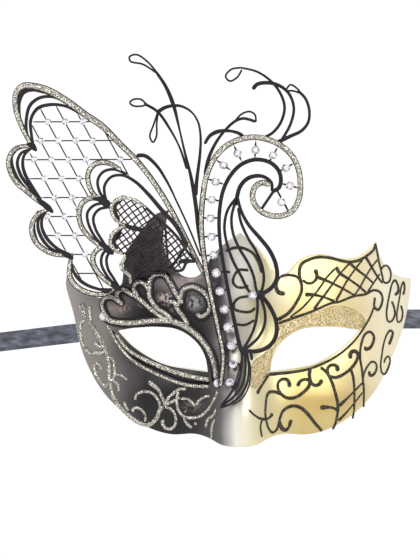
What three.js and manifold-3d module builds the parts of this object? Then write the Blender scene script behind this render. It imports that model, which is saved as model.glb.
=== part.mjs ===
// Venetian half mask with a cut-metal butterfly wing, a scrolled swan neck, a spray
// of leaves, tendrils, set stones and two ribbons. Millimetres, +Z up, the wearer's
// face on the +Y side, the origin on the bridge of the nose at eye level.
import * as THREE from 'three';
import { mergeVertices } from 'three/addons/utils/BufferGeometryUtils.js';
import Module from 'manifold-3d';

const wasm = await Module();
wasm.setup();

// ---- driving dimensions ----
const MASK_WIDTH = 180; // shell, temple to temple
const MASK_HEIGHT = 205; // chin edge of the shell to the tip of the tallest tendril
const FACE_DEPTH = 50; // how far the temples sit behind the bridge
const NOSE_HEIGHT = 17; // how far the nose stands in front of the bridge
const SHELL_WALL = 1.6;
const SHEET = 0.8; // thickness of the cut metal
const FACING_GAP = 0.3; // air kept between neighbours that touch
const BAND_WIDTH = 3.0; // edge band of the wing and the neck
const BOLD_LINE = 2.2;
const LINE = 1.5;
const FINE_LINE = 1.0;
const TAIL_LINE = 1.2; // strands of the tail on the nose
const TRIM_HEIGHT = 0.9; // lid frame above the shell
const STONE_DIAMETER = 4.4;
const STONE_HEIGHT = 2.0;
const LATTICE_STONE_DIAMETER = 3.6;
const LATTICE_STONE_HEIGHT = 1.4;
const SPINE_STONES = 19;
const PAD_SHARE = 0.8; // the metal pad under a stone is a little smaller than the stone
const RIBBON_WIDTH = 10;
const RIBBON_THICKNESS = 0.6;
const PATCH_SIZE = 14;
const PATCH_THICKNESS = 1.2;
const PATCH_OVERLAP = 2; // how far past the ribbon's end the middle of the patch sits
const KNOT_LENGTH = 13;

// ---- the drawing grid: curves below are drawn on a mask 180 wide and 205 high ----
const DRAWN_WIDTH = 180;
const DRAWN_HEIGHT = 205;
const across = MASK_WIDTH / DRAWN_WIDTH;
const up = MASK_HEIGHT / DRAWN_HEIGHT;
const lineScale = Math.max(across, up); // cut lines widen with the mask, so that they still meet

// ---- materials ----
function metalFinish(color, roughness, metalness) {
  return new THREE.MeshStandardMaterial({ color, roughness, metalness });
}

const shellPaint = metalFinish(0xb9a766, 0.4, 0.3);
const blackMetal = metalFinish(0x1c1820, 0.45, 0.6);
const netMetal = metalFinish(0x241d28, 0.5, 0.5);
const glitterTrim = metalFinish(0xa89a80, 0.6, 0.6);
const crystal = metalFinish(0xe8e4f0, 0.05, 0.1);
const satin = metalFinish(0x39404a, 0.5, 0.0);
const felt = metalFinish(0x222226, 0.95, 0.0);

// ---- the mask's front surface ----
const FOREHEAD_LEAN = 0.09; // the brow and the metalwork lean back by this much per unit of height
const BEND_POWER = 2.1;
const NOSE_TOP = 22; // drawn height where the nose starts to rise
const NOSE_TIP = -36;
const NOSE_REACH_TOP = 10; // how far the nose spreads to each side, where it starts and at its tip
const NOSE_REACH_TIP = 16;
const BROW = { height: 1.2, centre: [40, 26], reach: [26, 9] };
const SOCKET = { height: 3, centre: [38, 0], reach: [20, 11] }; // this one goes in
const CHEEK = { height: 2.5, centre: [48, -24], reach: [24, 12] };
const TUCK = 0.0035; // the chin edge curls in by this much per square unit below TUCK_TOP
const TUCK_TOP = -15;

function smooth(t) {
  const s = Math.min(1, Math.max(0, t));
  return s * s * (3 - 2 * s);
}

// A round swelling of the given height about its centre.
function swelling(x, z, { height, centre, reach }) {
  return height * Math.exp(-(((x - centre[0]) / reach[0]) ** 2) - ((z - centre[1]) / reach[1]) ** 2);
}

function faceBend(x) {
  return FACE_DEPTH * (Math.abs(x) / (MASK_WIDTH / 2)) ** BEND_POWER;
}

// The plain bent sheet that the mask starts from.
function baseSurface(x, z) {
  return faceBend(x) + FOREHEAD_LEAN * Math.max(0, z);
}

// The mask's front: the bent sheet with nose, brow, eye sockets and cheeks.
function frontSurface(x, z) {
  const drawnX = x / across;
  const drawnZ = z / up;
  const rise = smooth((NOSE_TOP - drawnZ) / (NOSE_TOP - NOSE_TIP));
  const noseReach = THREE.MathUtils.lerp(NOSE_REACH_TOP, NOSE_REACH_TIP, rise);
  const nose = NOSE_HEIGHT * rise * Math.exp(-((drawnX / noseReach) ** 2));
  const side = Math.abs(drawnX);
  const brow = swelling(side, drawnZ, BROW);
  const socket = swelling(side, drawnZ, SOCKET);
  const cheek = swelling(side, drawnZ, CHEEK);
  const tuck = TUCK * Math.min(0, drawnZ - TUCK_TOP) ** 2;
  return baseSurface(x, z) - nose - brow + socket - cheek + tuck;
}

// ---- solids: joining and cutting ----
const REACH = 200; // longer than anything a cutter passes through

function toSolid(geometry) {
  const plain = geometry.clone();
  for (const name of ['normal', 'uv']) {
    plain.deleteAttribute(name);
  }
  const merged = mergeVertices(plain, 1e-5);
  return new wasm.Manifold(new wasm.Mesh({
    numProp: 3,
    vertProperties: new Float32Array(merged.attributes.position.array),
    triVerts: new Uint32Array(merged.index.array),
  }));
}

function toMesh(solid, name, material) {
  const { vertProperties, triVerts } = solid.getMesh();
  const geometry = new THREE.BufferGeometry();
  geometry.setAttribute('position', new THREE.BufferAttribute(new Float32Array(vertProperties), 3));
  geometry.setIndex(new THREE.BufferAttribute(new Uint32Array(triVerts), 1));
  geometry.computeVertexNormals();
  const mesh = new THREE.Mesh(geometry, material);
  mesh.name = name;
  return mesh;
}

// A prism of an outline drawn in X and Z, running right through along Y.
function prism(outline) {
  const shape = new THREE.Shape(outline);
  const geometry = new THREE.ExtrudeGeometry(shape, { depth: REACH, bevelEnabled: false });
  geometry.rotateX(Math.PI / 2);
  geometry.translate(0, REACH / 2, 0);
  return toSolid(geometry);
}

function joinAll(solids) {
  return wasm.Manifold.union(solids);
}

// ---- curves on the drawing grid ----
function onMask([x, z]) {
  return new THREE.Vector3(x * across, 0, z * up);
}

function curvePoints(drawn, step) {
  const curve = new THREE.CatmullRomCurve3(drawn.map(onMask), false, 'centripetal');
  return curve.getSpacedPoints(Math.max(1, Math.ceil(curve.getLength() / step)));
}

function flat(point) {
  return new THREE.Vector2(point.x, point.z);
}

// An outline made of smooth stretches that meet at corners.
function outlineOf(stretches, step) {
  return stretches.flatMap((stretch) => curvePoints(stretch, step).slice(0, -1).map(flat));
}

// A line of cut metal: four-sided pieces along a smooth curve, as wide as width says.
// width is one number, or a list spread evenly from the start to the end.
function line(drawn, width, step = 3.5) {
  const widths = [width].flat();
  const points = curvePoints(drawn, step);
  const last = points.length - 1;
  const sides = points.map((point, i) => {
    const along = points[Math.min(last, i + 1)].clone().sub(points[Math.max(0, i - 1)]).normalize();
    const place = (i / last) * (widths.length - 1);
    const lower = Math.min(Math.floor(place), Math.max(0, widths.length - 2));
    const upper = Math.min(lower + 1, widths.length - 1);
    const half = (lineScale * THREE.MathUtils.lerp(widths[lower], widths[upper], place - lower)) / 2;
    const centre = flat(point);
    const normal = new THREE.Vector2(-along.z, along.x).multiplyScalar(half);
    return [centre.clone().add(normal), centre.clone().sub(normal)];
  });
  return sides.slice(1).map(([left, right], i) => prism([sides[i][1], right, left, sides[i][0]]));
}

function disc(drawn, diameter, facets = 8) {
  const shape = new THREE.Shape();
  const centre = onMask(drawn);
  shape.absarc(centre.x, centre.z, (lineScale * diameter) / 2, 0, 2 * Math.PI);
  return prism(shape.getSpacedPoints(facets).slice(0, -1));
}

// ---- sheets to cut the lines from ----
// A grid between two surfaces, front and back, given as functions of x and z.
function moulded(left, right, low, high, cell, front, back) {
  const width = (right - left) * across;
  const height = (high - low) * up;
  const columns = Math.round(width / cell);
  const rows = Math.round(height / cell);
  const geometry = new THREE.BoxGeometry(width, 1, height, columns, 1, rows);
  geometry.translate(((left + right) / 2) * across, 0, ((low + high) / 2) * up);
  const position = geometry.attributes.position;
  for (let i = 0; i < position.count; i += 1) {
    const x = position.getX(i);
    const z = position.getZ(i);
    position.setY(i, position.getY(i) < 0 ? front(x, z) : back(x, z));
  }
  return toSolid(geometry);
}

// Sheet metal bent about upright lines only, leaning back with the forehead.
const WING_STRAIGHT = 45; // past this distance from the middle the wing runs straight
const WING_BENDS = [0, 12, 20, 28, 36, WING_STRAIGHT];

function wingProfile() {
  const stations = WING_BENDS.map((x) => [x * across, faceBend(x * across)]);
  const [previous, edge] = stations.slice(-2);
  const slope = (edge[1] - previous[1]) / (edge[0] - previous[0]);
  const tip = 130 * across;
  stations.push([tip, edge[1] + slope * (tip - edge[0])]);
  return stations;
}

function wingSheet(standoff) {
  const stations = wingProfile();
  const front = stations.map(([x, y]) => new THREE.Vector2(-x, y - standoff - SHEET));
  const back = stations.map(([x, y]) => new THREE.Vector2(-x, y - standoff)).reverse();
  const geometry = new THREE.ExtrudeGeometry(new THREE.Shape([...front, ...back]), {
    depth: 2 * REACH,
    bevelEnabled: false,
  });
  geometry.translate(0, 0, -REACH);
  const position = geometry.attributes.position;
  for (let i = 0; i < position.count; i += 1) {
    position.setY(i, position.getY(i) + FOREHEAD_LEAN * position.getZ(i));
  }
  return toSolid(geometry);
}

// Layers of the wing, each measured forward from the bent base sheet.
const BROW_CLEARANCE = 1.7; // brow ridge and a little air
const WING_STANDOFF = BROW_CLEARANCE + TRIM_HEIGHT + FACING_GAP;
const MIDDLE_STANDOFF = WING_STANDOFF + SHEET + FACING_GAP;
const NET_STANDOFF = MIDDLE_STANDOFF + SHEET + FACING_GAP;
const STACK_FRONT = NET_STANDOFF + SHEET;

// Sheet metal bent about level lines only: the neck, leaves and tendrils follow the
// nose below the brow and pass in front of the wing above it.
const NECK_BENDS = [-45, -36, -28, -21, -14, -7, 2, 12, 26, 160];
const NECK_CLEARANCE = 0.7;
const NECK_REACH = 20; // drawn half-width of the neck where it crosses the wing

function neckBack(z) {
  const columns = [-12, -8, -4, 0, 4, 8];
  const shellLimit = Math.min(...columns.map((x) => frontSurface(x * across, z))) - NECK_CLEARANCE;
  const crossing = faceBend((NECK_REACH - 2) * across) + FOREHEAD_LEAN * z;
  const wingLimit = crossing - STACK_FRONT - 2 * FACING_GAP - SHEET;
  return Math.min(shellLimit, wingLimit);
}

const neckStations = NECK_BENDS.map((z) => [z * up, neckBack(z * up)]);

// Depth of the bent neck sheet's back face at height z, and the slope there.
function neckAt(z) {
  const i = Math.max(1, neckStations.findIndex(([height]) => height >= z));
  const [low, high] = [neckStations[i - 1], neckStations[i]];
  const slope = (high[1] - low[1]) / (high[0] - low[0]);
  return { y: low[1] + slope * (z - low[0]), slope };
}

// forward is measured from the back face of the neck: 0 for the neck itself.
function neckSheet(forward) {
  const front = neckStations.map(([z, y]) => new THREE.Vector2(z, y - forward - SHEET));
  const back = neckStations.map(([z, y]) => new THREE.Vector2(z, y - forward)).reverse();
  const geometry = new THREE.ExtrudeGeometry(new THREE.Shape([...front, ...back]), {
    depth: REACH,
    bevelEnabled: false,
  });
  geometry.rotateY(-Math.PI / 2);
  geometry.translate(REACH / 2, 0, 0);
  return toSolid(geometry);
}

// ---- mask shell ----
const SHELL_EDGE = [
  [[-90, 39], [-90.5, 34], [-86.5, 19], [-81.5, -2], [-72, -20.5], [-61, -32], [-46, -41], [-35, -44],
    [-23, -43.7], [-16, -45.7], [-9, -49.4], [0, -50.5], [9, -49.4], [16, -45.7], [23, -43.7], [35, -44],
    [46, -41.5], [61, -32.5], [72, -20], [80, -3.5], [86, 12], [89, 27], [90, 37.5]],
  [[90, 37.5], [84, 38.3], [77.5, 42.5], [73.5, 49.5], [71.6, 57]],
  [[71.6, 57], [66, 51.5], [60.5, 48.3], [53, 47.8], [46, 49.6], [38.5, 49.6], [31, 46.5], [25.5, 40.6],
    [22.4, 38]],
  [[22.4, 38], [16, 45.8], [8.8, 54.6], [0.5, 61]],
  [[0.5, 61], [-8.5, 54.6], [-14.5, 48.5], [-18.7, 41], [-23, 38], [-29, 38.6], [-34, 43.5], [-38, 50],
    [-39.5, 60], [-37.8, 66.5], [-36.4, 73]],
  [[-36.4, 73], [-43, 71], [-48, 66], [-56, 55.5], [-59.5, 50], [-60.3, 41], [-61.5, 33.8], [-65, 30.5],
    [-71, 27.2], [-76, 28], [-83, 31.5], [-90, 39]],
];

// One eye, outer corner first, over the top and back under; the other is its mirror.
const EYE = [
  [[63, 10], [52, 11.7], [42, 11.9], [33.5, 11], [27, 8], [21, 2.5], [17.6, -4], [16.3, -11.4]],
  [[16.3, -11.4], [26, -10], [38, -7.7], [47, -3.6], [55.5, 2.2], [63, 10]],
];

function mirrored(stretches) {
  return stretches.map((stretch) => stretch.map(([x, z]) => [-x, z]));
}

function maskShell() {
  const sheet = moulded(-96, 96, -55, 80, 5.5, frontSurface, (x, z) => frontSurface(x, z) + SHELL_WALL);
  const rim = prism(outlineOf(SHELL_EDGE, 4.5));
  const eyes = [EYE, mirrored(EYE)].map((eye) => prism(outlineOf(eye, 3)));
  return sheet.intersect(rim).subtract(joinAll(eyes));
}

// ---- lid frame: glittered petals round one eye, glued on the shell ----
const LID_LINES = [
  { at: [[-71, 17.5], [-66, 15], [-57, 14], [-43, 15.3], [-34, 14.8], [-27, 11.8], [-20, 6], [-15, -1],
    [-12.5, -8], [-11.5, -15]], width: 2 },
  { at: [[-67.5, 16], [-70, 20], [-71, 24], [-69.5, 27], [-66, 27.5], [-63, 25.8],
    [-60, 23.5]], width: LINE },
  { at: [[-61.5, 24], [-63.3, 28], [-61.8, 31], [-59, 31], [-55.5, 28.5]], width: LINE },
  { at: [[-57, 29.5], [-53, 27.5], [-47, 22.5], [-41, 17.8], [-36, 15.3]], width: LINE },
  { at: [[-52, 27.5], [-54.5, 32], [-52.5, 35.2], [-49.3, 34.6], [-46.5, 31]], width: LINE },
  { at: [[-46.3, 33], [-46.4, 28], [-43, 22.5], [-38, 18.8], [-34.5, 15.5]], width: LINE },
  { at: [[-46.4, 31], [-46, 36], [-43, 39.2], [-39, 39], [-36, 35.5], [-32.5, 29],
    [-29, 24]], width: LINE },
  { at: [[-36.5, 25], [-33.5, 24.8], [-32, 21.5], [-29, 17.5], [-26, 12.5]], width: LINE },
  { at: [[-32.5, 21.8], [-30.4, 26.5], [-29, 31], [-24.5, 33], [-19.5, 31], [-16, 27], [-15, 23],
    [-16.5, 19],
    [-19.5, 17.3], [-22, 19.2]], width: LINE, step: 2.2 },
];

function lidFrame() {
  const front = (x, z) => frontSurface(x, z) - FACING_GAP - TRIM_HEIGHT;
  const back = (x, z) => frontSurface(x, z) - FACING_GAP;
  const skin = moulded(-76, -4, -22, 44, 5.5, front, back);
  const lines = LID_LINES.flatMap(({ at, width, step }) => line(at, width, step));
  return joinAll(lines).intersect(skin);
}

// ---- butterfly wing: three sheets, one in front of another ----
const WING_BAND = [
  [[-107.5, 105.5], [-111.5, 113], [-115, 121], [-116.6, 128], [-116, 134.5], [-112.5, 137.7],
    [-107, 137.6],
    [-100, 135.6], [-90, 130], [-80, 122.7], [-71, 116.5], [-62, 107.5], [-53, 98.5], [-44, 87],
      [-35, 72.5],
    [-27, 57], [-18.5, 40]],
  [[-106, 105.3], [-112, 106.3], [-117, 104.5], [-120, 99.5], [-119.5, 94], [-116, 87.5], [-111, 83],
    [-105, 78],
    [-98.5, 73.5]],
  [[-97.5, 73.5], [-103, 71.7], [-107, 67.5], [-108, 62], [-106, 56.5], [-101, 52], [-95, 49.7],
    [-87, 49.3]],
  [[-86.8, 50.5], [-88, 44], [-88, 38.5], [-84.5, 33], [-78, 29.7], [-70, 29], [-64, 32]],
];
const WING_ARCS = [
  [[-88, 127.8], [-97, 132], [-104, 131.5], [-109, 127.5], [-110.9, 120], [-110.6, 113], [-108, 106]],
  [[-82, 122.8], [-90, 127], [-98, 128], [-105, 126], [-108.6, 120], [-108.2, 112], [-107, 105.5]],
  [[-108, 105], [-113.5, 102.7], [-115.6, 98], [-114, 91.5], [-109.5, 85], [-103.5, 78]],
  [[-108, 105.6], [-112, 101.5], [-112.8, 97], [-111.5, 91.5], [-108, 85.5], [-103, 78]],
  [[-101, 72.5], [-104.2, 68.5], [-104.8, 64], [-102.6, 58], [-98.5, 53.2], [-92, 50]],
  [[-100, 73], [-102.4, 69], [-102.8, 64.5], [-100.5, 58.8], [-95.5, 53.5], [-89, 50]],
  [[-87.4, 48.5], [-86.8, 42.5], [-84, 37.5], [-79, 33.7], [-73, 31.6], [-68, 30.3]],
];
const WING_JOINTS = [[-107.3, 107.3], [-100.5, 74.5], [-89.5, 49.7], [-68.5, 30.5]];
const WING_JOINT_SIZE = 5.5;
const LOBE_WIDTHS = [LINE, BAND_WIDTH, BOLD_LINE];
const WING_FIELD = [
  [[-81, 121.5], [-90, 126.6], [-98, 127.6], [-104.7, 125.6], [-108.3, 120], [-107.8, 112],
    [-107, 105.5], [-112, 101],
    [-112.5, 95], [-109, 87], [-103, 79], [-98.5, 74], [-102, 69], [-102.6, 64], [-100, 58], [-94, 52.5],
    [-87.5, 49.5], [-86.8, 42.5], [-84, 37.5], [-79, 33.7], [-70, 31]],
  [[-70, 31], [-74, 40], [-77, 47], [-75, 52], [-77, 57], [-83, 64], [-85, 71], [-82, 79], [-79, 86],
    [-79.5, 93],
    [-76, 98.5], [-68, 98], [-59.5, 93], [-57, 90], [-50.5, 96]],
  [[-50.5, 96], [-62, 107.5], [-71, 116.5], [-81, 121.5]],
]; // the lattice ends inside the arcs that frame it
const ROW_TOP = 119;
const ROW_PITCH = 9.9;
const ROWS = 9;
const SLANT_PITCH = 9.05;
const SLANT_RUN = 5.4; // how far a slanted bar moves along while it drops one row
const SLANTS = 7;
const FIRST_NODE = -127;
const BAR_WIDTH = 0.9;

function barNode(slant, row) {
  return [FIRST_NODE + slant * SLANT_PITCH + row * SLANT_RUN, ROW_TOP - row * ROW_PITCH];
}

function wingLattice() {
  const bars = [];
  for (let row = 0; row < ROWS; row += 1) {
    const height = ROW_TOP - row * ROW_PITCH;
    bars.push(...line([[-122, height], [-44, height]], BAR_WIDTH, 2 * REACH));
  }
  for (let slant = 0; slant < SLANTS; slant += 1) {
    bars.push(...line([barNode(slant, -1), barNode(slant, ROWS)], BAR_WIDTH, 2 * REACH));
  }
  return joinAll(bars).intersect(prism(outlineOf(WING_FIELD, 4)));
}

// The crossings that carry a stone, as row and slant numbers counted from the tip.
const LATTICE_STONES = [
  [0, 3], [0, 4], [0, 5], [1, 2], [1, 3], [1, 4], [1, 5], [2, 1], [2, 2], [2, 3], [2, 4], [2, 6],
    [3, 1], [3, 2],
  [3, 3], [4, 1], [4, 2], [5, 0], [5, 1], [6, 0], [6, 1], [7, 1],
];

function wingSheetCut() {
  const [tip, ...lobes] = WING_BAND;
  const bands = [...line(tip, BAND_WIDTH), ...lobes.flatMap((lobe) => line(lobe, LOBE_WIDTHS))];
  const arcs = WING_ARCS.flatMap((stretch) => line(stretch, LINE));
  const joints = WING_JOINTS.map((at) => disc(at, WING_JOINT_SIZE));
  const padSize = LATTICE_STONE_DIAMETER * PAD_SHARE;
  const pads = LATTICE_STONES.map(([row, slant]) => disc(barNode(slant, row), padSize, 6));
  const cut = joinAll([...bands, ...arcs, ...joints, ...pads, wingLattice()]);
  return cut.intersect(wingSheet(WING_STANDOFF));
}

const MIDDLE_LINES = [
  { at: [[-61, 93.5], [-68, 97.3], [-74.5, 97], [-78.3, 92.5], [-78.3, 87], [-75.5, 81],
    [-69, 76.5]], width: BOLD_LINE },
  { at: [[-58, 91.5], [-65, 94], [-70.5, 92.8], [-73.4, 88.5], [-72.5, 82.5], [-68, 76]], width: LINE },
  { at: [[-67.5, 74], [-69.8, 81], [-69.7, 86], [-66, 90.3], [-60, 90.8], [-54, 87.7], [-47, 81],
    [-40, 72.8],
    [-33, 65], [-27, 54.5]], width: [LINE, LINE, BOLD_LINE, BOLD_LINE] },
  { at: [[-69, 77.5], [-77, 79], [-81.5, 76.5], [-83.2, 71], [-82, 64.5], [-77.5, 58.5],
    [-70, 52.5]], width: BOLD_LINE },
  { at: [[-68, 76.5], [-75, 75.5], [-78.8, 71.5], [-78.4, 66], [-75, 59], [-69.5, 53]], width: LINE },
  { at: [[-67.5, 74.5], [-73, 73], [-75.7, 69], [-74.6, 63], [-71.5, 57.5], [-68, 52.5]], width: LINE },
  { at: [[-66, 52.5], [-72.5, 52.8], [-75.8, 49], [-75.3, 44], [-72, 39], [-67.5, 34.8],
    [-62.5, 32]], width: BOLD_LINE },
  { at: [[-68, 53], [-71, 49.5], [-71.6, 45], [-69.5, 40], [-66.5, 36], [-63, 32.5]], width: LINE },
  { at: [[-66.5, 52.5], [-68.8, 47.5], [-68, 42], [-65, 37], [-62, 32]], width: LINE },
  { at: [[-67, 76], [-65.5, 70], [-62, 66], [-62, 60], [-66, 56], [-68, 52]], width: LINE },
  { at: [[-62, 32.5], [-55, 37], [-48, 39.7], [-38, 40.8], [-27, 54.5]], width: LINE },
];

const MIDDLE_JOINTS = [[-68.5, 76.5], [-68.5, 52.7], [-63, 32.5]];
const MIDDLE_JOINT_SIZE = 4.5;

function wingMiddleCut() {
  const lines = MIDDLE_LINES.flatMap(({ at, width }) => line(at, width));
  const joints = MIDDLE_JOINTS.map((at) => disc(at, MIDDLE_JOINT_SIZE));
  return joinAll([...lines, ...joints]).intersect(wingSheet(MIDDLE_STANDOFF));
}

const NET_EDGE = [
  [[-59, 65], [-64, 67.5], [-66.3, 72], [-65, 76.7], [-61, 79.6], [-55, 78.6], [-49, 74.6], [-44, 70],
    [-37, 64],
    [-31, 57.5], [-27, 51.5], [-22.5, 46]],
  [[-22.5, 46], [-27, 45.5], [-29.5, 41.5], [-35, 41.5], [-43, 42.6], [-51, 40.8], [-55.5, 36]],
  [[-55.5, 36], [-58, 39.5], [-61.3, 43], [-59, 47.5], [-58.5, 50]],
  [[-58.5, 50], [-63, 50.8], [-66.8, 54], [-66.5, 59], [-63, 63], [-59, 65]],
];

function wingNetCut() {
  return prism(outlineOf(NET_EDGE, 3)).intersect(wingSheet(NET_STANDOFF));
}

// ---- swan neck, with a pad and a bar under each stone ----
const NECK_BAND = [[-9.6, -19], [-8.3, -3.6], [-10.9, 11], [-14.5, 28], [-18.7, 52], [-19.7, 66.5],
  [-18.7, 80.6],
  [-16.9, 90.5], [-13, 99.3], [-6.8, 106], [1, 109.7], [10, 110.5], [20, 107.4], [27, 101.7], [30.7, 94.6],
  [31.9, 87], [31.3, 79], [28, 72.6], [22.5, 69.8], [16.5, 69.9], [11.5, 72], [8, 76], [7, 80.6], [8.5, 85],
  [12.2, 87], [16.5, 85.8]];
const NECK_LINE = [[1, -0.5], [-0.5, 5.7], [-3.1, 18.2], [-5.7, 31.2], [-9.4, 52.5], [-10.4, 64.5],
  [-9.9, 74.6],
  [-8.3, 82.7], [-4.6, 90.5], [0.8, 96.2], [7, 98.8], [12, 98.8], [17, 97], [20.6, 93.2], [21.8, 88.4],
  [20.6, 84.2], [17, 82.2]];
const NECK_CRESCENT = [[17.2, 82.2], [16.8, 87], [13, 90], [8.8, 90.5], [4.2, 89], [0.5, 84.8], [-1, 79.6],
  [-1.6, 75]];
const SPINE = [[22, 77], [26.6, 87], [22.5, 97.5], [12.5, 103.5], [2, 103.4], [-7, 97.5], [-12.5, 86.5],
  [-14.8, 72], [-14, 56], [-11.3, 37], [-7.5, 20], [-4, 2], [-3, -7], [-4.7, -16.6]];
const SPINE_GAP = 9.6; // across the opening that the stones stand in, on the drawing grid

function spinePlaces() {
  const curve = new THREE.CatmullRomCurve3(SPINE.map(onMask), false, 'centripetal');
  return Array.from({ length: SPINE_STONES }, (_, i) => {
    const share = i / (SPINE_STONES - 1);
    return { point: curve.getPointAt(share), along: curve.getTangentAt(share) };
  });
}

function toDrawn(point) {
  return [point.x / across, point.z / up];
}

function neckCut() {
  const band = line(NECK_BAND, BAND_WIDTH, 3.2);
  const inner = line(NECK_LINE, [BOLD_LINE, LINE]);
  const crescent = line(NECK_CRESCENT, [LINE, BOLD_LINE, BOLD_LINE], 3);
  const brace = line([[18, 82.6], [11.5, 73]], LINE, REACH);
  const hook = line([[19.5, 83.5], [26, 71.5]], FINE_LINE, REACH);
  const pads = spinePlaces().flatMap(({ point, along }, i) => {
    if (i === 0) {
      return [disc(toDrawn(point), STONE_DIAMETER * PAD_SHARE)];
    }
    const [x, z] = toDrawn(point);
    const [normalX, normalZ] = [(-along.z * SPINE_GAP) / 2, (along.x * SPINE_GAP) / 2];
    const ends = [[x + normalX, z + normalZ], [x - normalX, z - normalZ]];
    return [disc([x, z], STONE_DIAMETER * PAD_SHARE), ...line(ends, FINE_LINE, REACH)];
  });
  return joinAll([...band, ...inner, ...crescent, ...brace, ...hook, ...pads]).intersect(neckSheet(0));
}

// ---- leaves, one sheet in front of the neck ----
const LEAF_JOINT = [11, 28.6];
const LEAF_STONE = [7, 28.4];
const NOSE_JOINT = [2.5, -0.6];
const LEAF_JOINT_SIZE = 5;
const NOSE_JOINT_SIZE = 4.4;
const LEAF_LINES = [
  { at: [[-1.6, 79], [-6, 72.5], [-7.6, 64], [-6.2, 55], [-3, 46], [1, 38.5], [4.5, 31.5],
    [7, 28.4]], width: LINE },
  { at: [[-2, 77], [-3.9, 69], [-3.2, 61], [0, 53], [4.5, 45.5], [7.5, 38.5], [8.8, 32],
    [10, 28]], width: LINE },
  { at: [[-0.5, 74], [1, 66.5], [4.5, 58.5], [9, 51], [12, 43.5], [12.9, 37], [11.5, 29]], width: LINE },
  { at: [[-1, 80], [1.2, 72], [5, 65], [11, 58], [16, 51.5], [19.2, 44], [19.6, 37], [16.5, 32],
    [11, 28.6]],
    width: [LINE, BOLD_LINE, BOLD_LINE] },
  { at: [[9.5, 28], [9.5, 20], [8, 12], [5.5, 6], [2, 0]], width: LINE },
  { at: [[11, 28], [13.4, 20], [13.2, 13], [10, 6.5], [3, 0]], width: LINE },
  { at: [[11.5, 28.5], [16, 22.5], [19.2, 15], [19.3, 8], [16.5, 2.8], [11, -0.4],
    [2, -0.8]], width: BOLD_LINE },
  { at: [[6, -0.5], [6.7, -5.5]], width: LINE },
  { at: [[4, -1], [5, -8], [4.9, -13], [3.8, -18.5], [0.5, -24], [-4.5, -28],
    [-10, -30]], width: TAIL_LINE },
  { at: [[3, -1], [3.4, -8], [2.9, -14], [1, -19.5], [-3, -24.5], [-9.5, -29.3]], width: TAIL_LINE },
  { at: [[1.5, -1], [1.4, -8], [0.5, -14], [-1.4, -18.5], [-5, -23.5], [-9.5, -29]], width: TAIL_LINE },
];

function leavesCut() {
  const lines = LEAF_LINES.flatMap(({ at, width }) => line(at, width));
  const pad = disc(LEAF_STONE, STONE_DIAMETER * PAD_SHARE);
  const joints = [disc(LEAF_JOINT, LEAF_JOINT_SIZE), pad, disc(NOSE_JOINT, NOSE_JOINT_SIZE)];
  return joinAll([...lines, ...joints]).intersect(neckSheet(SHEET + FACING_GAP));
}

// ---- tendrils, behind the neck ----
const CURL_STEP = 2.2;
const TENDRILS = {
  tendril_left: [
    { at: [[-42, 143.5], [-48, 150.3], [-53.5, 153.7], [-57, 152.5], [-56.5, 150.2], [-50, 148.6],
      [-42, 143.5]],
      width: FINE_LINE, step: CURL_STEP },
    { at: [[-43, 144.5], [-38, 136.8], [-34, 127], [-31.5, 117], [-28.5, 104], [-25, 90], [-22.6, 76],
      [-21, 62],
      [-18.5, 46]], width: [LINE, BOLD_LINE, FINE_LINE, LINE, BOLD_LINE, BOLD_LINE, LINE] },
    { at: [[-48, 127.6], [-51, 130.3], [-55, 130.3], [-56.8, 128.6], [-55, 127], [-51, 126.8],
      [-48, 127.6]],
      width: FINE_LINE, step: CURL_STEP },
    { at: [[-49.5, 128.3], [-42.5, 124], [-36, 115], [-31, 105.5],
      [-27, 94]], width: [LINE, LINE, FINE_LINE, LINE] },
    { at: [[-42, 124.5], [-44.5, 117], [-46.4, 111], [-44.7, 108], [-43, 111], [-42.8, 118], [-42, 124.5]],
      width: FINE_LINE, step: CURL_STEP },
    { at: [[-43, 123.3], [-38, 126.3], [-31, 127], [-25, 124], [-21.3, 118.5], [-20, 111], [-20.3, 102],
      [-22, 88],
      [-22.6, 80]], width: [BOLD_LINE, FINE_LINE, LINE, BOLD_LINE] },
    { at: [[-34, 80.5], [-29.5, 71], [-25, 61], [-20, 48.5]], width: FINE_LINE },
    { at: [[-53.5, 101], [-49, 101], [-43, 96], [-38, 88.5],
      [-33.4, 79.5]], width: [BOLD_LINE, FINE_LINE] },
  ],
  tendril_middle: [
    { at: [[-18, 107], [-15.5, 111], [-13, 112.8], [-9.5, 113.9], [-3.5, 113.7], [1, 112], [3, 109]],
      width: [LINE, BOLD_LINE, LINE, BOLD_LINE] },
    { at: [[-17.6, 91], [-16, 99], [-12.5, 107], [-7.5, 114], [-2, 119], [2, 120.4], [5.5, 119.8],
      [8.7, 118.6]],
      width: [BOLD_LINE, LINE, LINE] },
    { at: [[-2, 119.3], [1.5, 122.8], [5.5, 124], [8.3, 122.3],
      [8.9, 118.4]], width: FINE_LINE, step: CURL_STEP },
  ],
  tendril_right: [
    { at: [[1.5, 146.9], [-4, 146], [-7, 142.3], [-4.8, 139.9], [-1, 141.8], [1.6, 146]], width: FINE_LINE,
      step: CURL_STEP },
    { at: [[0.5, 147], [9.5, 144.7], [17, 139.5], [22, 132.5], [23.7, 126], [21.8, 118.5], [17.5, 113],
      [12, 110]],
      width: [FINE_LINE, LINE, LINE] },
    { at: [[7, 135.5], [9.5, 138.2], [15, 139], [21, 137.5], [26, 133.3], [28.5, 126], [26.8, 117.5],
      [20.5, 106.5]],
      width: [BOLD_LINE, LINE, LINE] },
    { at: [[24.5, 135.5], [26.8, 138], [30.2, 136], [31.8, 133.8], [28, 134.8],
      [24.8, 134.8]], width: FINE_LINE,
      step: CURL_STEP },
    { at: [[30.5, 135], [34.4, 131], [36.5, 125], [36, 118.5], [32.5, 114], [27, 111.3], [20, 108]],
      width: [LINE, LINE, BOLD_LINE] },
  ],
};

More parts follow.
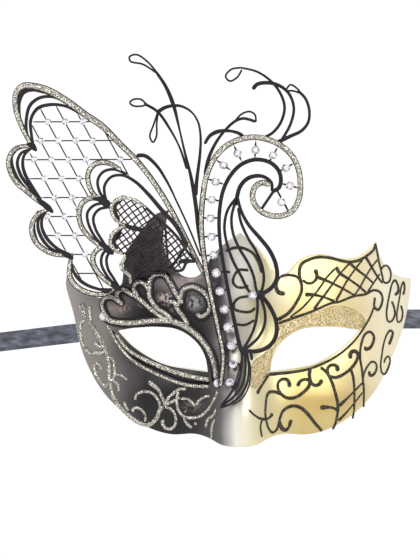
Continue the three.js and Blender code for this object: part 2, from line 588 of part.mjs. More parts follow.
function tendrilCut(lines) {
  const solids = lines.flatMap(({ at, width, step }) => line(at, width, step));
  return joinAll(solids).intersect(neckSheet(-SHEET - FACING_GAP));
}

// ---- stones: flat-backed, with a bevelled rim and a small table ----
const STONE_FACETS = 8;
const STONE_SEAT = 0.5; // air under a stone, enough where the sheet below it bends

function stoneMesh(name, diameter, height) {
  const radius = diameter / 2;
  const profile = [[0, 0], [radius, 0], [radius, height * 0.25], [radius * 0.55, height], [0, height]];
  const geometry = new THREE.LatheGeometry(profile.map(([x, y]) => new THREE.Vector2(x, y)), STONE_FACETS);
  geometry.rotateX(Math.PI);
  const mesh = new THREE.Mesh(geometry, crystal);
  mesh.name = name;
  return mesh;
}

// Sets a stone's flat back at point, facing the way normal points.
function setStone(mesh, point, normal) {
  mesh.position.copy(point);
  mesh.quaternion.setFromUnitVectors(new THREE.Vector3(0, -1, 0), normal.clone().normalize());
}

function stoneOnNeck(name, place, sheetsBelow) {
  const { y, slope } = neckAt(place.z);
  const mesh = stoneMesh(name, STONE_DIAMETER, STONE_HEIGHT);
  const seat = y - sheetsBelow * (SHEET + FACING_GAP) - STONE_SEAT;
  setStone(mesh, new THREE.Vector3(place.x, seat, place.z), new THREE.Vector3(0, -1, slope));
  return mesh;
}

function stoneOnLid(name, drawn) {
  const { x, z } = onMask(drawn);
  const slopeX = (frontSurface(x + 1, z) - frontSurface(x - 1, z)) / 2;
  const slopeZ = (frontSurface(x, z + 1) - frontSurface(x, z - 1)) / 2;
  const normal = new THREE.Vector3(slopeX, -1, slopeZ);
  const mesh = stoneMesh(name, STONE_DIAMETER, STONE_HEIGHT);
  const seat = frontSurface(x, z) - FACING_GAP - TRIM_HEIGHT - STONE_SEAT;
  setStone(mesh, new THREE.Vector3(x, seat, z), normal);
  return mesh;
}

function stoneOnWing(name, drawn) {
  const { x, z } = onMask(drawn);
  const [inner, outer] = wingProfile().slice(-2);
  const slope = (outer[1] - inner[1]) / (outer[0] - inner[0]);
  const depth = inner[1] + slope * (-x - inner[0]) + FOREHEAD_LEAN * z;
  const mesh = stoneMesh(name, LATTICE_STONE_DIAMETER, LATTICE_STONE_HEIGHT);
  const seat = depth - WING_STANDOFF - SHEET - FACING_GAP;
  setStone(mesh, new THREE.Vector3(x, seat, z), new THREE.Vector3(-slope, -1, FOREHEAD_LEAN));
  return mesh;
}

// ---- ribbons: flat satin, from a felt patch inside each temple out to a knot ----
// Points of each ribbon's middle seen from above, x then y, drawn against the front of
// a shell 50 deep and moved behind its wall by ribbonPoints.
const RIBBON_LEFT = [[-70, 30.9], [-78, 38.4], [-88, 49.1], [-98, 57], [-112, 63], [-130, 69]];
const RIBBON_RIGHT = [[70, 31.4], [78, 38.9], [88, 49.6], [97, 56], [108, 60.8], [122, 64.5]];
const RIBBONS = {
  left: { route: RIBBON_LEFT, height: 10.5, fall: 0.12 },
  right: { route: RIBBON_RIGHT, height: 16, fall: 0 },
};
const RIBBON_AIR = 0.8; // between the shell's inside and the ribbon, for the folds of the wall
const DRAWN_DEPTH = 50;

function ribbonPoints({ route }) {
  const behind = SHELL_WALL + RIBBON_AIR + RIBBON_THICKNESS / 2;
  const deep = FACE_DEPTH / DRAWN_DEPTH;
  return route.map(([x, y]) => new THREE.Vector2(x * across, y * deep + behind));
}

// Height of a ribbon's middle at x: it drops by fall for each unit that it runs to the left.
function ribbonHeight({ route, height, fall }, x) {
  return height * up + fall * (x - route[0][0] * across);
}

// Two sides of a thin strip seen from above.
function stripOutline(points, thickness) {
  const last = points.length - 1;
  const sides = points.map((point, i) => {
    const along = points[Math.min(last, i + 1)].clone().sub(points[Math.max(0, i - 1)]).normalize();
    const normal = new THREE.Vector2(-along.y, along.x).multiplyScalar(thickness / 2);
    return [point.clone().add(normal), point.clone().sub(normal)];
  });
  return [...sides.map(([left]) => left), ...sides.map(([, right]) => right).reverse()];
}

function ribbonMesh(name, ribbon) {
  const strip = new THREE.Shape(stripOutline(ribbonPoints(ribbon), RIBBON_THICKNESS));
  const geometry = new THREE.ExtrudeGeometry(strip, { depth: RIBBON_WIDTH, bevelEnabled: false });
  geometry.translate(0, 0, -RIBBON_WIDTH / 2);
  const position = geometry.attributes.position;
  for (let i = 0; i < position.count; i += 1) {
    position.setZ(i, position.getZ(i) + ribbonHeight(ribbon, position.getX(i)));
  }
  const mesh = new THREE.Mesh(geometry, satin);
  mesh.name = name;
  return mesh;
}

function knotMesh(name, ribbon) {
  const [near, end] = ribbonPoints(ribbon).slice(-2);
  const along = new THREE.Vector3(end.x - near.x, end.y - near.y, 0).normalize();
  const geometry = new THREE.SphereGeometry(KNOT_LENGTH / 2, 12, 8);
  geometry.scale(1, 0.6, 0.75);
  const mesh = new THREE.Mesh(geometry, satin);
  mesh.name = name;
  mesh.quaternion.setFromUnitVectors(new THREE.Vector3(1, 0, 0), along);
  mesh.position.set(end.x, end.y, ribbonHeight(ribbon, end.x));
  mesh.position.addScaledVector(along, KNOT_LENGTH / 2 + FACING_GAP);
  return mesh;
}

// A flat felt patch over the ribbon's inner end, turned to lie along it.
function patchMesh(name, ribbon) {
  const [start, next] = ribbonPoints(ribbon);
  const along = next.clone().sub(start).normalize();
  const inward = new THREE.Vector2(-along.y, along.x).multiplyScalar(Math.sign(start.x));
  const mesh = new THREE.Mesh(new THREE.BoxGeometry(PATCH_SIZE, PATCH_THICKNESS, PATCH_SIZE), felt);
  mesh.name = name;
  const offset = RIBBON_THICKNESS / 2 + FACING_GAP + PATCH_THICKNESS / 2;
  const middle = start.clone().addScaledVector(along, PATCH_OVERLAP).addScaledVector(inward, offset);
  mesh.position.set(middle.x, middle.y, ribbonHeight(ribbon, middle.x));
  mesh.rotation.z = Math.atan2(along.y, along.x);
  return mesh;
}

// ---- assembly ----
const mask = new THREE.Group();
mask.add(toMesh(maskShell(), 'mask_shell', shellPaint));
mask.add(toMesh(lidFrame(), 'lid_frame', glitterTrim));
mask.add(toMesh(wingSheetCut(), 'wing_main', blackMetal));
mask.add(toMesh(wingMiddleCut(), 'wing_middle', blackMetal));
mask.add(toMesh(wingNetCut(), 'wing_net', netMetal));
mask.add(toMesh(neckCut(), 'swan_neck', blackMetal));
mask.add(toMesh(leavesCut(), 'leaf_spray', blackMetal));
for (const [name, lines] of Object.entries(TENDRILS)) {
  mask.add(toMesh(tendrilCut(lines), name, blackMetal));
}
spinePlaces().forEach(({ point }, i) => {
  mask.add(stoneOnNeck(`spine_stone_${String(i + 1).padStart(2, '0')}`, point, 1));
});
mask.add(stoneOnNeck('leaf_stone', onMask(LEAF_STONE), 2));
mask.add(stoneOnLid('lid_stone_outer', [-71, 17.5]));
mask.add(stoneOnLid('lid_stone_inner', [-11.5, -17]));
LATTICE_STONES.forEach(([row, slant], i) => {
  mask.add(stoneOnWing(`wing_stone_${String(i + 1).padStart(2, '0')}`, barNode(slant, row)));
});
for (const [side, ribbon] of Object.entries(RIBBONS)) {
  mask.add(ribbonMesh(`ribbon_${side}`, ribbon));
  mask.add(knotMesh(`ribbon_knot_${side}`, ribbon));
  mask.add(patchMesh(`ribbon_patch_${side}`, ribbon));
}

export default mask;
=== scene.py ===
"""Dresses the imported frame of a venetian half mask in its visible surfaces.

The mask has a moulded shell, half gunmetal and half gold, a cut-metal butterfly wing over one
eye, a scrolled swan neck set with stones, a spray of leaves, tendrils and two satin ribbons.
Drawn places and the sizes in the dataclass fields are millimetres, x to the wearer's left and z
up. Everything is turned into metres where a mesh is made.
"""

import logging
import math
import random
from dataclasses import dataclass
from enum import Enum
from typing import Optional, Protocol, Sequence, Union

import bpy
import numpy as np
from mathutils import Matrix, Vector, geometry, noise


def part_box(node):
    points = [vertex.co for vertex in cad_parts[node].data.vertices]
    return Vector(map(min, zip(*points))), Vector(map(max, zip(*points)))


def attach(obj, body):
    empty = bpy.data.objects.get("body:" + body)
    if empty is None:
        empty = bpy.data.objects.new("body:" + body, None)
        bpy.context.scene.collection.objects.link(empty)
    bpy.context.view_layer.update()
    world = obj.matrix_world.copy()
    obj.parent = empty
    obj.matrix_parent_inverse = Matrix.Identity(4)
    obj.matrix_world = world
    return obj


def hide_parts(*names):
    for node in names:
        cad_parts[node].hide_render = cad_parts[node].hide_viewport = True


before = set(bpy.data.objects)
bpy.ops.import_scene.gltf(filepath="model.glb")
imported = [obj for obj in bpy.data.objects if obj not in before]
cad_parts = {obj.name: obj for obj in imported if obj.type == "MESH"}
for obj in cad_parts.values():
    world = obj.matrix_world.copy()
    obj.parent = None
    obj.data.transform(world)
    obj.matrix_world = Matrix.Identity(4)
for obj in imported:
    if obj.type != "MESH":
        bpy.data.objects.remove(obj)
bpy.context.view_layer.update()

log = logging.getLogger("mask")

MM = 0.001
FRAME_BODY = "root"

Drawn = tuple[float, float]
Widths = Union[float, tuple[float, ...]]

# Widths that the cut metal is drawn with.
BAND = 3.0
BOLD = 2.2
LINE = 1.5
FINE = 1.0
TAIL = 1.2


# ---------------------------------------------------------------------------------------------
# Drawn lines
# ---------------------------------------------------------------------------------------------


@dataclass(frozen=True)
class Stroke:
    """A line drawn on the mask, with its width or widths from the start to the end."""

    at: Sequence[Drawn]
    width: Widths = LINE


def smooth_line(points: Sequence[Drawn], step: float) -> np.ndarray:
    """Runs a smooth curve through points and places stations evenly along it.

    Args:
        points: The places that the curve passes through.
        step: The wanted distance between stations.

    Returns:
        One row for each station.
    """
    drawn = np.array(points, dtype=float)
    padded = np.vstack([2 * drawn[0] - drawn[1], drawn, 2 * drawn[-1] - drawn[-2]])
    share = np.linspace(0, 1, 13)[:, None]
    fine = [drawn[:1]]
    for i in range(len(drawn) - 1):
        before, start, end, after = padded[i : i + 4]
        knots = [max(float(np.linalg.norm(b - a)), 1e-6) ** 0.5
                 for a, b in ((before, start), (start, end), (end, after))]
        leave = ((start - before) / knots[0] - (end - before) / (knots[0] + knots[1])
                 + (end - start) / knots[1]) * knots[1]
        arrive = ((end - start) / knots[1] - (after - start) / (knots[1] + knots[2])
                  + (after - end) / knots[2]) * knots[1]
        square = 3 * (end - start) - 2 * leave - arrive
        cube = 2 * (start - end) + leave + arrive
        fine.append((start + leave * share + square * share**2 + cube * share**3)[1:])
    line = np.vstack(fine)
    gone = np.concatenate([[0], np.cumsum(np.linalg.norm(np.diff(line, axis=0), axis=1))])
    count = max(2, int(math.ceil(gone[-1] / step)) + 1)
    wanted = np.linspace(0, gone[-1], count)
    return np.column_stack([np.interp(wanted, gone, line[:, k]) for k in range(line.shape[1])])


def outline_of(stretches: Sequence[Sequence[Drawn]], step: float) -> np.ndarray:
    """Joins smooth stretches that meet at corners into one closed outline.

    Args:
        stretches: The stretches, each from one corner to the next.
        step: The wanted distance between stations.

    Returns:
        One row for each point, without the first one again at the end.
    """
    return np.vstack([smooth_line(stretch, step)[:-1] for stretch in stretches])


def inside(outline: np.ndarray, places: np.ndarray) -> np.ndarray:
    """Tells which places lie inside an outline.

    Args:
        outline: The closed outline, one row for each point.
        places: The places to look at, one row each.

    Returns:
        True or False for each place.
    """
    following = np.roll(outline, -1, axis=0)
    x, z = places[:, 0][:, None], places[:, 1][:, None]
    crossing = (outline[:, 1] > z) != (following[:, 1] > z)
    rise = following[:, 1] - outline[:, 1]
    rise = np.where(np.abs(rise) < 1e-12, 1e-12, rise)
    at = outline[:, 0] + (z - outline[:, 1]) * (following[:, 0] - outline[:, 0]) / rise
    return (np.sum(crossing & (x < at), axis=1) % 2) == 1


def distance_to(outline: np.ndarray, places: np.ndarray) -> np.ndarray:
    """Measures how far each place is from the nearest point of an outline.

    Args:
        outline: The outline's points, one row each.
        places: The places to measure from, one row each.

    Returns:
        One distance for each place.
    """
    gaps = places[:, None, :] - outline[None, :, :]
    return np.sqrt(np.min(np.sum(gaps**2, axis=2), axis=1))


def blend(low: float, high: float, value: float) -> float:
    """Returns 0 up to low, 1 from high on, and a smooth step between them."""
    share = min(1.0, max(0.0, (value - low) / (high - low)))
    return share * share * (3 - 2 * share)


# ---------------------------------------------------------------------------------------------
# The surfaces that lines are laid on
# ---------------------------------------------------------------------------------------------


class Skin(Protocol):
    """A surface that faces the front, given as a depth for each drawn place."""

    def depth_at(self, x: float, z: float) -> float:
        """Returns the depth behind the bridge at a drawn place."""


def normal_on(skin: Skin, x: float, z: float) -> Vector:
    """Works out which way a surface faces.

    Args:
        skin: The surface.
        x: The drawn place across.
        z: The drawn place up.

    Returns:
        A unit vector that points out of the front of the surface.
    """
    reach = 0.5
    across = (skin.depth_at(x + reach, z) - skin.depth_at(x - reach, z)) / (2 * reach)
    upward = (skin.depth_at(x, z + reach) - skin.depth_at(x, z - reach)) / (2 * reach)
    return Vector((across, -1.0, upward)).normalized()


@dataclass(frozen=True)
class FaceForm:
    """The moulded front of the mask."""

    half_width: float = 90.0
    temple_depth: float = 50.0
    bend_power: float = 2.1
    forehead_lean: float = 0.09
    nose_height: float = 17.0
    nose_top: float = 22.0
    nose_tip: float = -36.0
    raised: float = 0.0

    def bend(self, x: float) -> float:
        """Returns the depth of the plain bent sheet at a distance from the middle."""
        return self.temple_depth * (abs(x) / self.half_width) ** self.bend_power

    @staticmethod
    def bump(x: float, z: float, centre: Drawn, reach: Drawn) -> float:
        """Returns the height, from 0 to 1, of a round swelling at a place."""
        return math.exp(-(((x - centre[0]) / reach[0]) ** 2) - ((z - centre[1]) / reach[1]) ** 2)

    def depth_at(self, x: float, z: float) -> float:
        """Returns the depth of the moulded front at a drawn place."""
        side = abs(x)
        rise = 1 - blend(self.nose_tip, self.nose_top, z)
        nose = self.nose_height * rise * math.exp(-((x / (10 + 6 * rise)) ** 2))
        brow = 1.2 * self.bump(side, z, (40, 26), (26, 9))
        socket = 3.0 * self.bump(side, z, (38, 0), (20, 11))
        cheek = 2.5 * self.bump(side, z, (48, -24), (24, 12))
        tuck = 0.0035 * min(0.0, z + 15) ** 2
        flat = self.bend(x) + self.forehead_lean * max(0.0, z)
        return flat - nose - brow + socket - cheek + tuck - self.raised


@dataclass(frozen=True)
class WingSheet:
    """The back of a metal sheet bent about upright lines, standing in front of the forehead."""

    form: FaceForm
    standoff: float
    last_bends: Drawn = (36.0, 45.0)

    def slope(self) -> float:
        """Returns how fast the straight part of the sheet falls back."""
        start, end = self.last_bends
        return (self.form.bend(end) - self.form.bend(start)) / (end - start)

    def depth_at(self, x: float, z: float) -> float:
        """Returns the depth of the sheet's back at a drawn place."""
        start = self.last_bends[0]
        side = abs(x)
        if side <= start:
            bend = self.form.bend(side)
        else:
            bend = self.form.bend(start) + self.slope() * (side - start)
        return bend + self.form.forehead_lean * z - self.standoff


@dataclass(frozen=True)
class NeckSheet:
    """The back of a metal sheet bent about level lines, over the nose and in front of the wing."""

    form: FaceForm
    forward: float = 0.0
    bends: tuple[float, ...] = (-45, -36, -28, -21, -14, -7, 2, 12, 26, 160)
    clearance: float = 0.7
    reach: float = 20.0
    stack_front: float = 5.9
    sheet: float = 0.8
    gap: float = 0.3

    def station(self, z: float) -> float:
        """Returns the depth of the sheet's back at one of its bends."""
        ridge = min(self.form.depth_at(x, z) for x in (-12, -8, -4, 0, 4, 8))
        crossing = self.form.bend(self.reach - 2) + self.form.forehead_lean * z
        return min(ridge - self.clearance, crossing - self.stack_front - 2 * self.gap - self.sheet)

    def depth_at(self, x: float, z: float) -> float:
        """Returns the depth of the sheet's back at a drawn place, with its bends eased."""
        key = (self.form, self.bends)
        if key not in NECK_STATIONS:
            NECK_STATIONS[key] = [self.station(bend) for bend in self.bends]
        depths = NECK_STATIONS[key]
        eased = [float(np.interp(z + shift, self.bends, depths)) for shift in (-3, -1.5, 0, 1.5, 3)]
        return sum(eased) / len(eased) - self.forward


NECK_STATIONS: dict[tuple, list[float]] = {}


# ---------------------------------------------------------------------------------------------
# Meshes
# ---------------------------------------------------------------------------------------------


class MeshPile:
    """Points and faces of one piece, gathered in millimetres."""

    def __init__(self) -> None:
        """Starts with nothing in it."""
        self.points: list[Vector] = []
        self.faces: list[Sequence[int]] = []
        self.finishes: list[int] = []

    def add(self, points: Sequence[Vector], faces: Sequence[Sequence[int]], finish: int = 0) -> None:
        """Adds a body.

        Args:
            points: Its points.
            faces: Its faces, numbered among those points.
            finish: Which of the piece's materials the faces take.
        """
        start = len(self.points)
        self.points.extend(points)
        self.faces.extend([start + i for i in face] for face in faces)
        self.finishes.extend([finish] * len(faces))

    def sweep(self, loops: Sequence[Sequence[Vector]], finish: int = 0) -> None:
        """Adds a closed body that runs through a row of loops with the same number of points.

        Args:
            loops: The loops, from the start to the end.
            finish: Which of the piece's materials the faces take.
        """
        size = len(loops[0])
        faces: list[Sequence[int]] = [list(range(size))[::-1]]
        for row in range(len(loops) - 1):
            for i in range(size):
                after = (i + 1) % size
                low, high = row * size, (row + 1) * size
                faces.append((low + i, low + after, high + after, high + i))
        last = (len(loops) - 1) * size
        faces.append([last + i for i in range(size)])
        self.add([point for loop in loops for point in loop], faces, finish)

    def build(self, name: str, *materials: bpy.types.Material, smooth: float = 40.0) -> bpy.types.Object:
        """Makes the object, in metres, and lets it ride on the frame.

        Args:
            name: The object's name.
            materials: The materials, in the order that the faces number them.
            smooth: Edges sharper than this angle in degrees stay sharp, and 0 keeps every facet.

        Returns:
            The new object.
        """
        mesh = bpy.data.meshes.new(name)
        mesh.from_pydata([point * MM for point in self.points], [], self.faces)
        mesh.polygons.foreach_set("material_index", self.finishes)
        for material in materials:
            mesh.materials.append(material)
        mesh.validate()
        fix_directions(mesh)
        if smooth:
            mesh.shade_smooth()
            mesh.set_sharp_from_angle(angle=math.radians(smooth))
        else:
            mesh.shade_flat()
        made = bpy.data.objects.new(name, mesh)
        bpy.context.scene.collection.objects.link(made)
        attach(made, FRAME_BODY)
        return made


def fix_directions(mesh: bpy.types.Mesh) -> None:
    """Turns every face of a mesh to face out of its body.

    Args:
        mesh: The mesh, made of closed bodies.
    """
    import bmesh

    work = bmesh.new()
    work.from_mesh(mesh)
    bmesh.ops.recalc_face_normals(work, faces=work.faces)
    work.to_mesh(mesh)
    work.free()


def widths_along(width: Widths, count: int) -> list[float]:
    """Spreads a width, or a row of widths, over the stations of a line.

    Args:
        width: One width, or the widths from the start to the end.
        count: How many stations there are.

    Returns:
        One width for each station.
    """
    given = [width] if isinstance(width, (int, float)) else list(width)
    if len(given) == 1:
        return [float(given[0])] * count
    return list(np.interp(np.linspace(0, len(given) - 1, count), range(len(given)), given))


def rounded_ends(places: np.ndarray, widths: list[float]) -> list[float]:
    """Narrows a line towards its two ends so that they are round.

    Args:
        places: The line's stations.
        widths: The width at each station.

    Returns:
        The narrowed widths.
    """
    gone = np.concatenate([[0], np.cumsum(np.linalg.norm(np.diff(places, axis=0), axis=1))])
    narrowed = []
    for at, width in zip(gone, widths):
        from_end = min(at, gone[-1] - at)
        share = min(1.0, from_end / (0.5 * width))
        narrowed.append(width * max(0.16, math.sqrt(1 - (1 - share) ** 2)))
    return narrowed


def frames_along(places: np.ndarray, skin: Skin) -> list[tuple[Vector, Vector, Vector]]:
    """Stands a line on a surface.

    Args:
        places: The line's stations, as drawn places.
        skin: The surface.

    Returns:
        For each station its point, the direction across the line, and the way out of the surface.
    """
    points = [Vector((x, skin.depth_at(x, z), z)) for x, z in places]
    last = len(points) - 1
    frames = []
    for i, point in enumerate(points):
        along = (points[min(last, i + 1)] - points[max(0, i - 1)]).normalized()
        out = normal_on(skin, float(places[i][0]), float(places[i][1]))
        across = along.cross(out).normalized()
        frames.append((point, across, out))
    return frames


@dataclass(frozen=True)
class CutStrip:
    """Flat cut metal with eased edges, standing out from a surface."""

    thickness: float = 0.8
    easing: float = 0.16
    step: float = 0.7

    def section(self, width: float) -> list[Drawn]:
        """Returns the section's corners, as distances across and out."""
        half, ease, top = width / 2, min(self.easing, width / 4), self.thickness
        return [
            (-half + ease, 0), (-half, ease), (-half, top - ease), (-half + ease, top),
            (half - ease, top), (half, top - ease), (half, ease), (half - ease, 0),
        ]

    def lay(self, pile: MeshPile, stroke: Stroke, skin: Skin, rise: float = 0.0) -> None:
        """Adds one line of cut metal.

        Args:
            pile: Where the line goes.
            stroke: The drawn line.
            skin: The surface that it lies on.
            rise: How far out of the surface it starts.
        """
        places = smooth_line(stroke.at, self.step)
        widths = rounded_ends(places, widths_along(stroke.width, len(places)))
        loops = []
        for (point, across, out), width in zip(frames_along(places, skin), widths):
            loops.append([point + across * a + out * (b + rise) for a, b in self.section(width)])
        pile.sweep(loops)


@dataclass(frozen=True)
class GlueBead:
    """A raised, grainy line of glitter glue, rounded on top and a little uneven."""

    height_share: float = 0.42
    sunk: float = 0.12
    step: float = 0.45
    facets: int = 8
    grain: float = 0.09
    sway: float = 0.10

    def lay(self, pile: MeshPile, stroke: Stroke, skin: Skin, rise: float = 0.0) -> None:
        """Adds one bead.

        Args:
            pile: Where the bead goes.
            stroke: The drawn line.
            skin: The surface that it lies on.
            rise: How far out of the surface it starts.
        """
        places = smooth_line(stroke.at, self.step)
        widths = rounded_ends(places, widths_along(stroke.width, len(places)))
        loops = []
        for (point, across, out), width in zip(frames_along(places, skin), widths):
            pull = 1 + self.sway * noise.noise(point * 0.35)
            loop = []
            for i in range(self.facets + 1):
                turn = math.pi * i / self.facets
                side, lift = -math.cos(turn), math.sin(turn) ** 0.8
                spot = point + across * (side * width * pull / 2)
                spot += out * (rise - self.sunk + lift * (self.sunk + self.height_share * width))
                loop.append(spot + out * (lift * self.grain * noise.noise(spot * 2.3)))
            loops.append(loop)
        pile.sweep(loops)


def grown(stroke: Stroke, extra: float) -> Stroke:
    """Returns the same line with every width changed by an amount."""
    if isinstance(stroke.width, tuple):
        return Stroke(stroke.at, tuple(width + extra for width in stroke.width))
    return Stroke(stroke.at, stroke.width + extra)


def disc(pile: MeshPile, at: Drawn, size: float, skin: Skin, thickness: float, rise: float) -> None:
    """Adds a flat round joint of cut metal.

    Args:
        pile: Where the disc goes.
        at: Its drawn middle.
        size: Its diameter.
        skin: The surface that it lies on.
        thickness: How thick it is.
        rise: How far out of the surface it starts.
    """
    out = normal_on(skin, *at)
    across = Vector((1, 0, 0)) - out * out.x
    across.normalize()
    upward = across.cross(out)
    middle = Vector((at[0], skin.depth_at(*at), at[1]))
    loops = []
    for share, height in ((0.92, 0), (1.0, 0.15), (1.0, thickness - 0.15), (0.92, thickness)):
        loops.append([
            middle + (across * math.cos(turn) + upward * math.sin(turn)) * (share * size / 2)
            + out * (height + rise)
            for turn in (2 * math.pi * i / 24 for i in range(24))
        ])
    pile.sweep(loops)


# ---------------------------------------------------------------------------------------------
# Finishes
# ---------------------------------------------------------------------------------------------


def paint(red: int, green: int, blue: int) -> tuple[float, float, float, float]:
    """Turns a colour of 0 to 255 into the linear values that a shader takes."""
    linear = []
    for part in (red, green, blue):
        value = part / 255
        linear.append(value / 12.92 if value <= 0.04045 else ((value + 0.055) / 1.055) ** 2.4)
    return (linear[0], linear[1], linear[2], 1.0)


Ramp = Sequence[tuple[float, tuple[int, int, int]]]


class NodeBench:
    """The nodes of one material, with a short way to add and join them."""

    def __init__(self, name: str) -> None:
        """Starts a material that holds a Principled shader and its output."""
        self.material = bpy.data.materials.new(name)
        self.material.use_nodes = True
        self.tree = self.material.node_tree
        self.tree.nodes.clear()
        self.shader = self.add("ShaderNodeBsdfPrincipled")
        output = self.add("ShaderNodeOutputMaterial")
        self.join(self.shader.outputs["BSDF"], output.inputs["Surface"])
        self.place = self.add("ShaderNodeTexCoord").outputs["Object"]

    def add(self, kind: str, **settings: object) -> bpy.types.Node:
        """Adds a node and sets the properties that are named."""
        node = self.tree.nodes.new(kind)
        for key, value in settings.items():
            setattr(node, key, value)
        return node

    def join(self, source: bpy.types.NodeSocket, target: bpy.types.NodeSocket) -> None:
        """Joins an output to an input."""
        self.tree.links.new(source, target)

    def set(self, **values: object) -> None:
        """Sets sockets of the shader, named with underscores for spaces."""
        for key, value in values.items():
            self.shader.inputs[key.replace("_", " ")].default_value = value

    def noise(self, scale: float, detail: float = 3.0, stretch: Sequence[float] = (1, 1, 1)) -> bpy.types.NodeSocket:
        """Returns the grey of a cloudy pattern.

        Args:
            scale: Clouds to the metre.
            detail: How fine the clouds' edges are.
            stretch: The scale's share along x, y and z.
        """
        sizes = self.add("ShaderNodeMapping")
        sizes.inputs["Scale"].default_value = stretch
        self.join(self.place, sizes.inputs["Vector"])
        cloud = self.add("ShaderNodeTexNoise")
        cloud.inputs["Scale"].default_value = scale
        cloud.inputs["Detail"].default_value = detail
        self.join(sizes.outputs["Vector"], cloud.inputs["Vector"])
        return cloud.outputs["Fac"]

    def flakes(self, size_mm: float) -> bpy.types.NodeSocket:
        """Returns a chance colour for each flake of the given size."""
        cells = self.add("ShaderNodeTexVoronoi")
        cells.inputs["Scale"].default_value = 1 / (size_mm * MM)
        self.join(self.place, cells.inputs["Vector"])
        return cells.outputs["Color"]

    def ramp(self, source: bpy.types.NodeSocket, stops: Ramp, hard: bool = False) -> bpy.types.NodeSocket:
        """Returns the colour that a value gives on a ramp.

        Args:
            source: The value, from 0 to 1.
            stops: The places and colours.
            hard: True for steps in place of a smooth run.
        """
        node = self.add("ShaderNodeValToRGB")
        band = node.color_ramp
        band.interpolation = "CONSTANT" if hard else "LINEAR"
        while len(band.elements) < len(stops):
            band.elements.new(1.0)
        for element, (at, colour) in zip(band.elements, stops):
            element.position = at
            element.color = paint(*colour)
        self.join(source, node.inputs["Fac"])
        return node.outputs["Color"]

    def maths(self, kind: str, first: object, second: object = 0.0, third: object = 0.0) -> bpy.types.NodeSocket:
        """Returns the result of a sum on sockets or numbers."""
        node = self.add("ShaderNodeMath", operation=kind)
        for i, value in enumerate((first, second, third)):
            if isinstance(value, bpy.types.NodeSocket):
                self.join(value, node.inputs[i])
            else:
                node.inputs[i].default_value = float(value)
        return node.outputs[0]

    def spread(self, source: bpy.types.NodeSocket, low: float, high: float) -> bpy.types.NodeSocket:
        """Returns a value of 0 to 1 moved to run from low to high."""
        return self.maths("MULTIPLY_ADD", source, high - low, low)

    def mix(self, share: object, first: object, second: object) -> bpy.types.NodeSocket:
        """Returns a mix of two colours."""
        node = self.add("ShaderNodeMix", data_type="RGBA")
        for socket, value in ((node.inputs[0], share), (node.inputs[6], first), (node.inputs[7], second)):
            if isinstance(value, bpy.types.NodeSocket):
                self.join(value, socket)
            else:
                socket.default_value = value
        return node.outputs[2]

    def bump(self, height: bpy.types.NodeSocket, strength: float, depth_mm: float,
             onto: Optional[bpy.types.NodeSocket] = None) -> bpy.types.NodeSocket:
        """Returns a normal raised by a height pattern.

        Args:
            height: The pattern, from 0 to 1.
            strength: How much of it shows.
            depth_mm: How deep it goes.
            onto: A normal to add it to.
        """
        node = self.add("ShaderNodeBump")
        node.inputs["Strength"].default_value = strength
        node.inputs["Distance"].default_value = depth_mm * MM
        self.join(height, node.inputs["Height"])
        if onto is not None:
            self.join(onto, node.inputs["Normal"])
        return node.outputs["Normal"]

    def tilted(self, chance: bpy.types.NodeSocket, amount: float) -> bpy.types.NodeSocket:
        """Returns the surface's normal tilted by a chance colour, as loose flakes lie."""
        centred = self.add("ShaderNodeVectorMath", operation="SUBTRACT")
        self.join(chance, centred.inputs[0])
        centred.inputs[1].default_value = (0.5, 0.5, 0.5)
        scaled = self.add("ShaderNodeVectorMath", operation="SCALE")
        self.join(centred.outputs[0], scaled.inputs[0])
        scaled.inputs["Scale"].default_value = amount
        added = self.add("ShaderNodeVectorMath", operation="ADD")
        self.join(scaled.outputs[0], added.inputs[0])
        self.join(self.add("ShaderNodeNewGeometry").outputs["Normal"], added.inputs[1])
        unit = self.add("ShaderNodeVectorMath", operation="NORMALIZE")
        self.join(added.outputs[0], unit.inputs[0])
        return unit.outputs[0]

    def grey(self, colour: bpy.types.NodeSocket) -> bpy.types.NodeSocket:
        """Returns the first part of a colour as a value."""
        parts = self.add("ShaderNodeSeparateColor")
        self.join(colour, parts.inputs[0])
        return parts.outputs[0]

    def along(self, axis: str) -> bpy.types.NodeSocket:
        """Returns one part of the place, X, Y or Z, in metres."""
        parts = self.add("ShaderNodeSeparateXYZ")
        self.join(self.place, parts.inputs[0])
        return parts.outputs[axis]


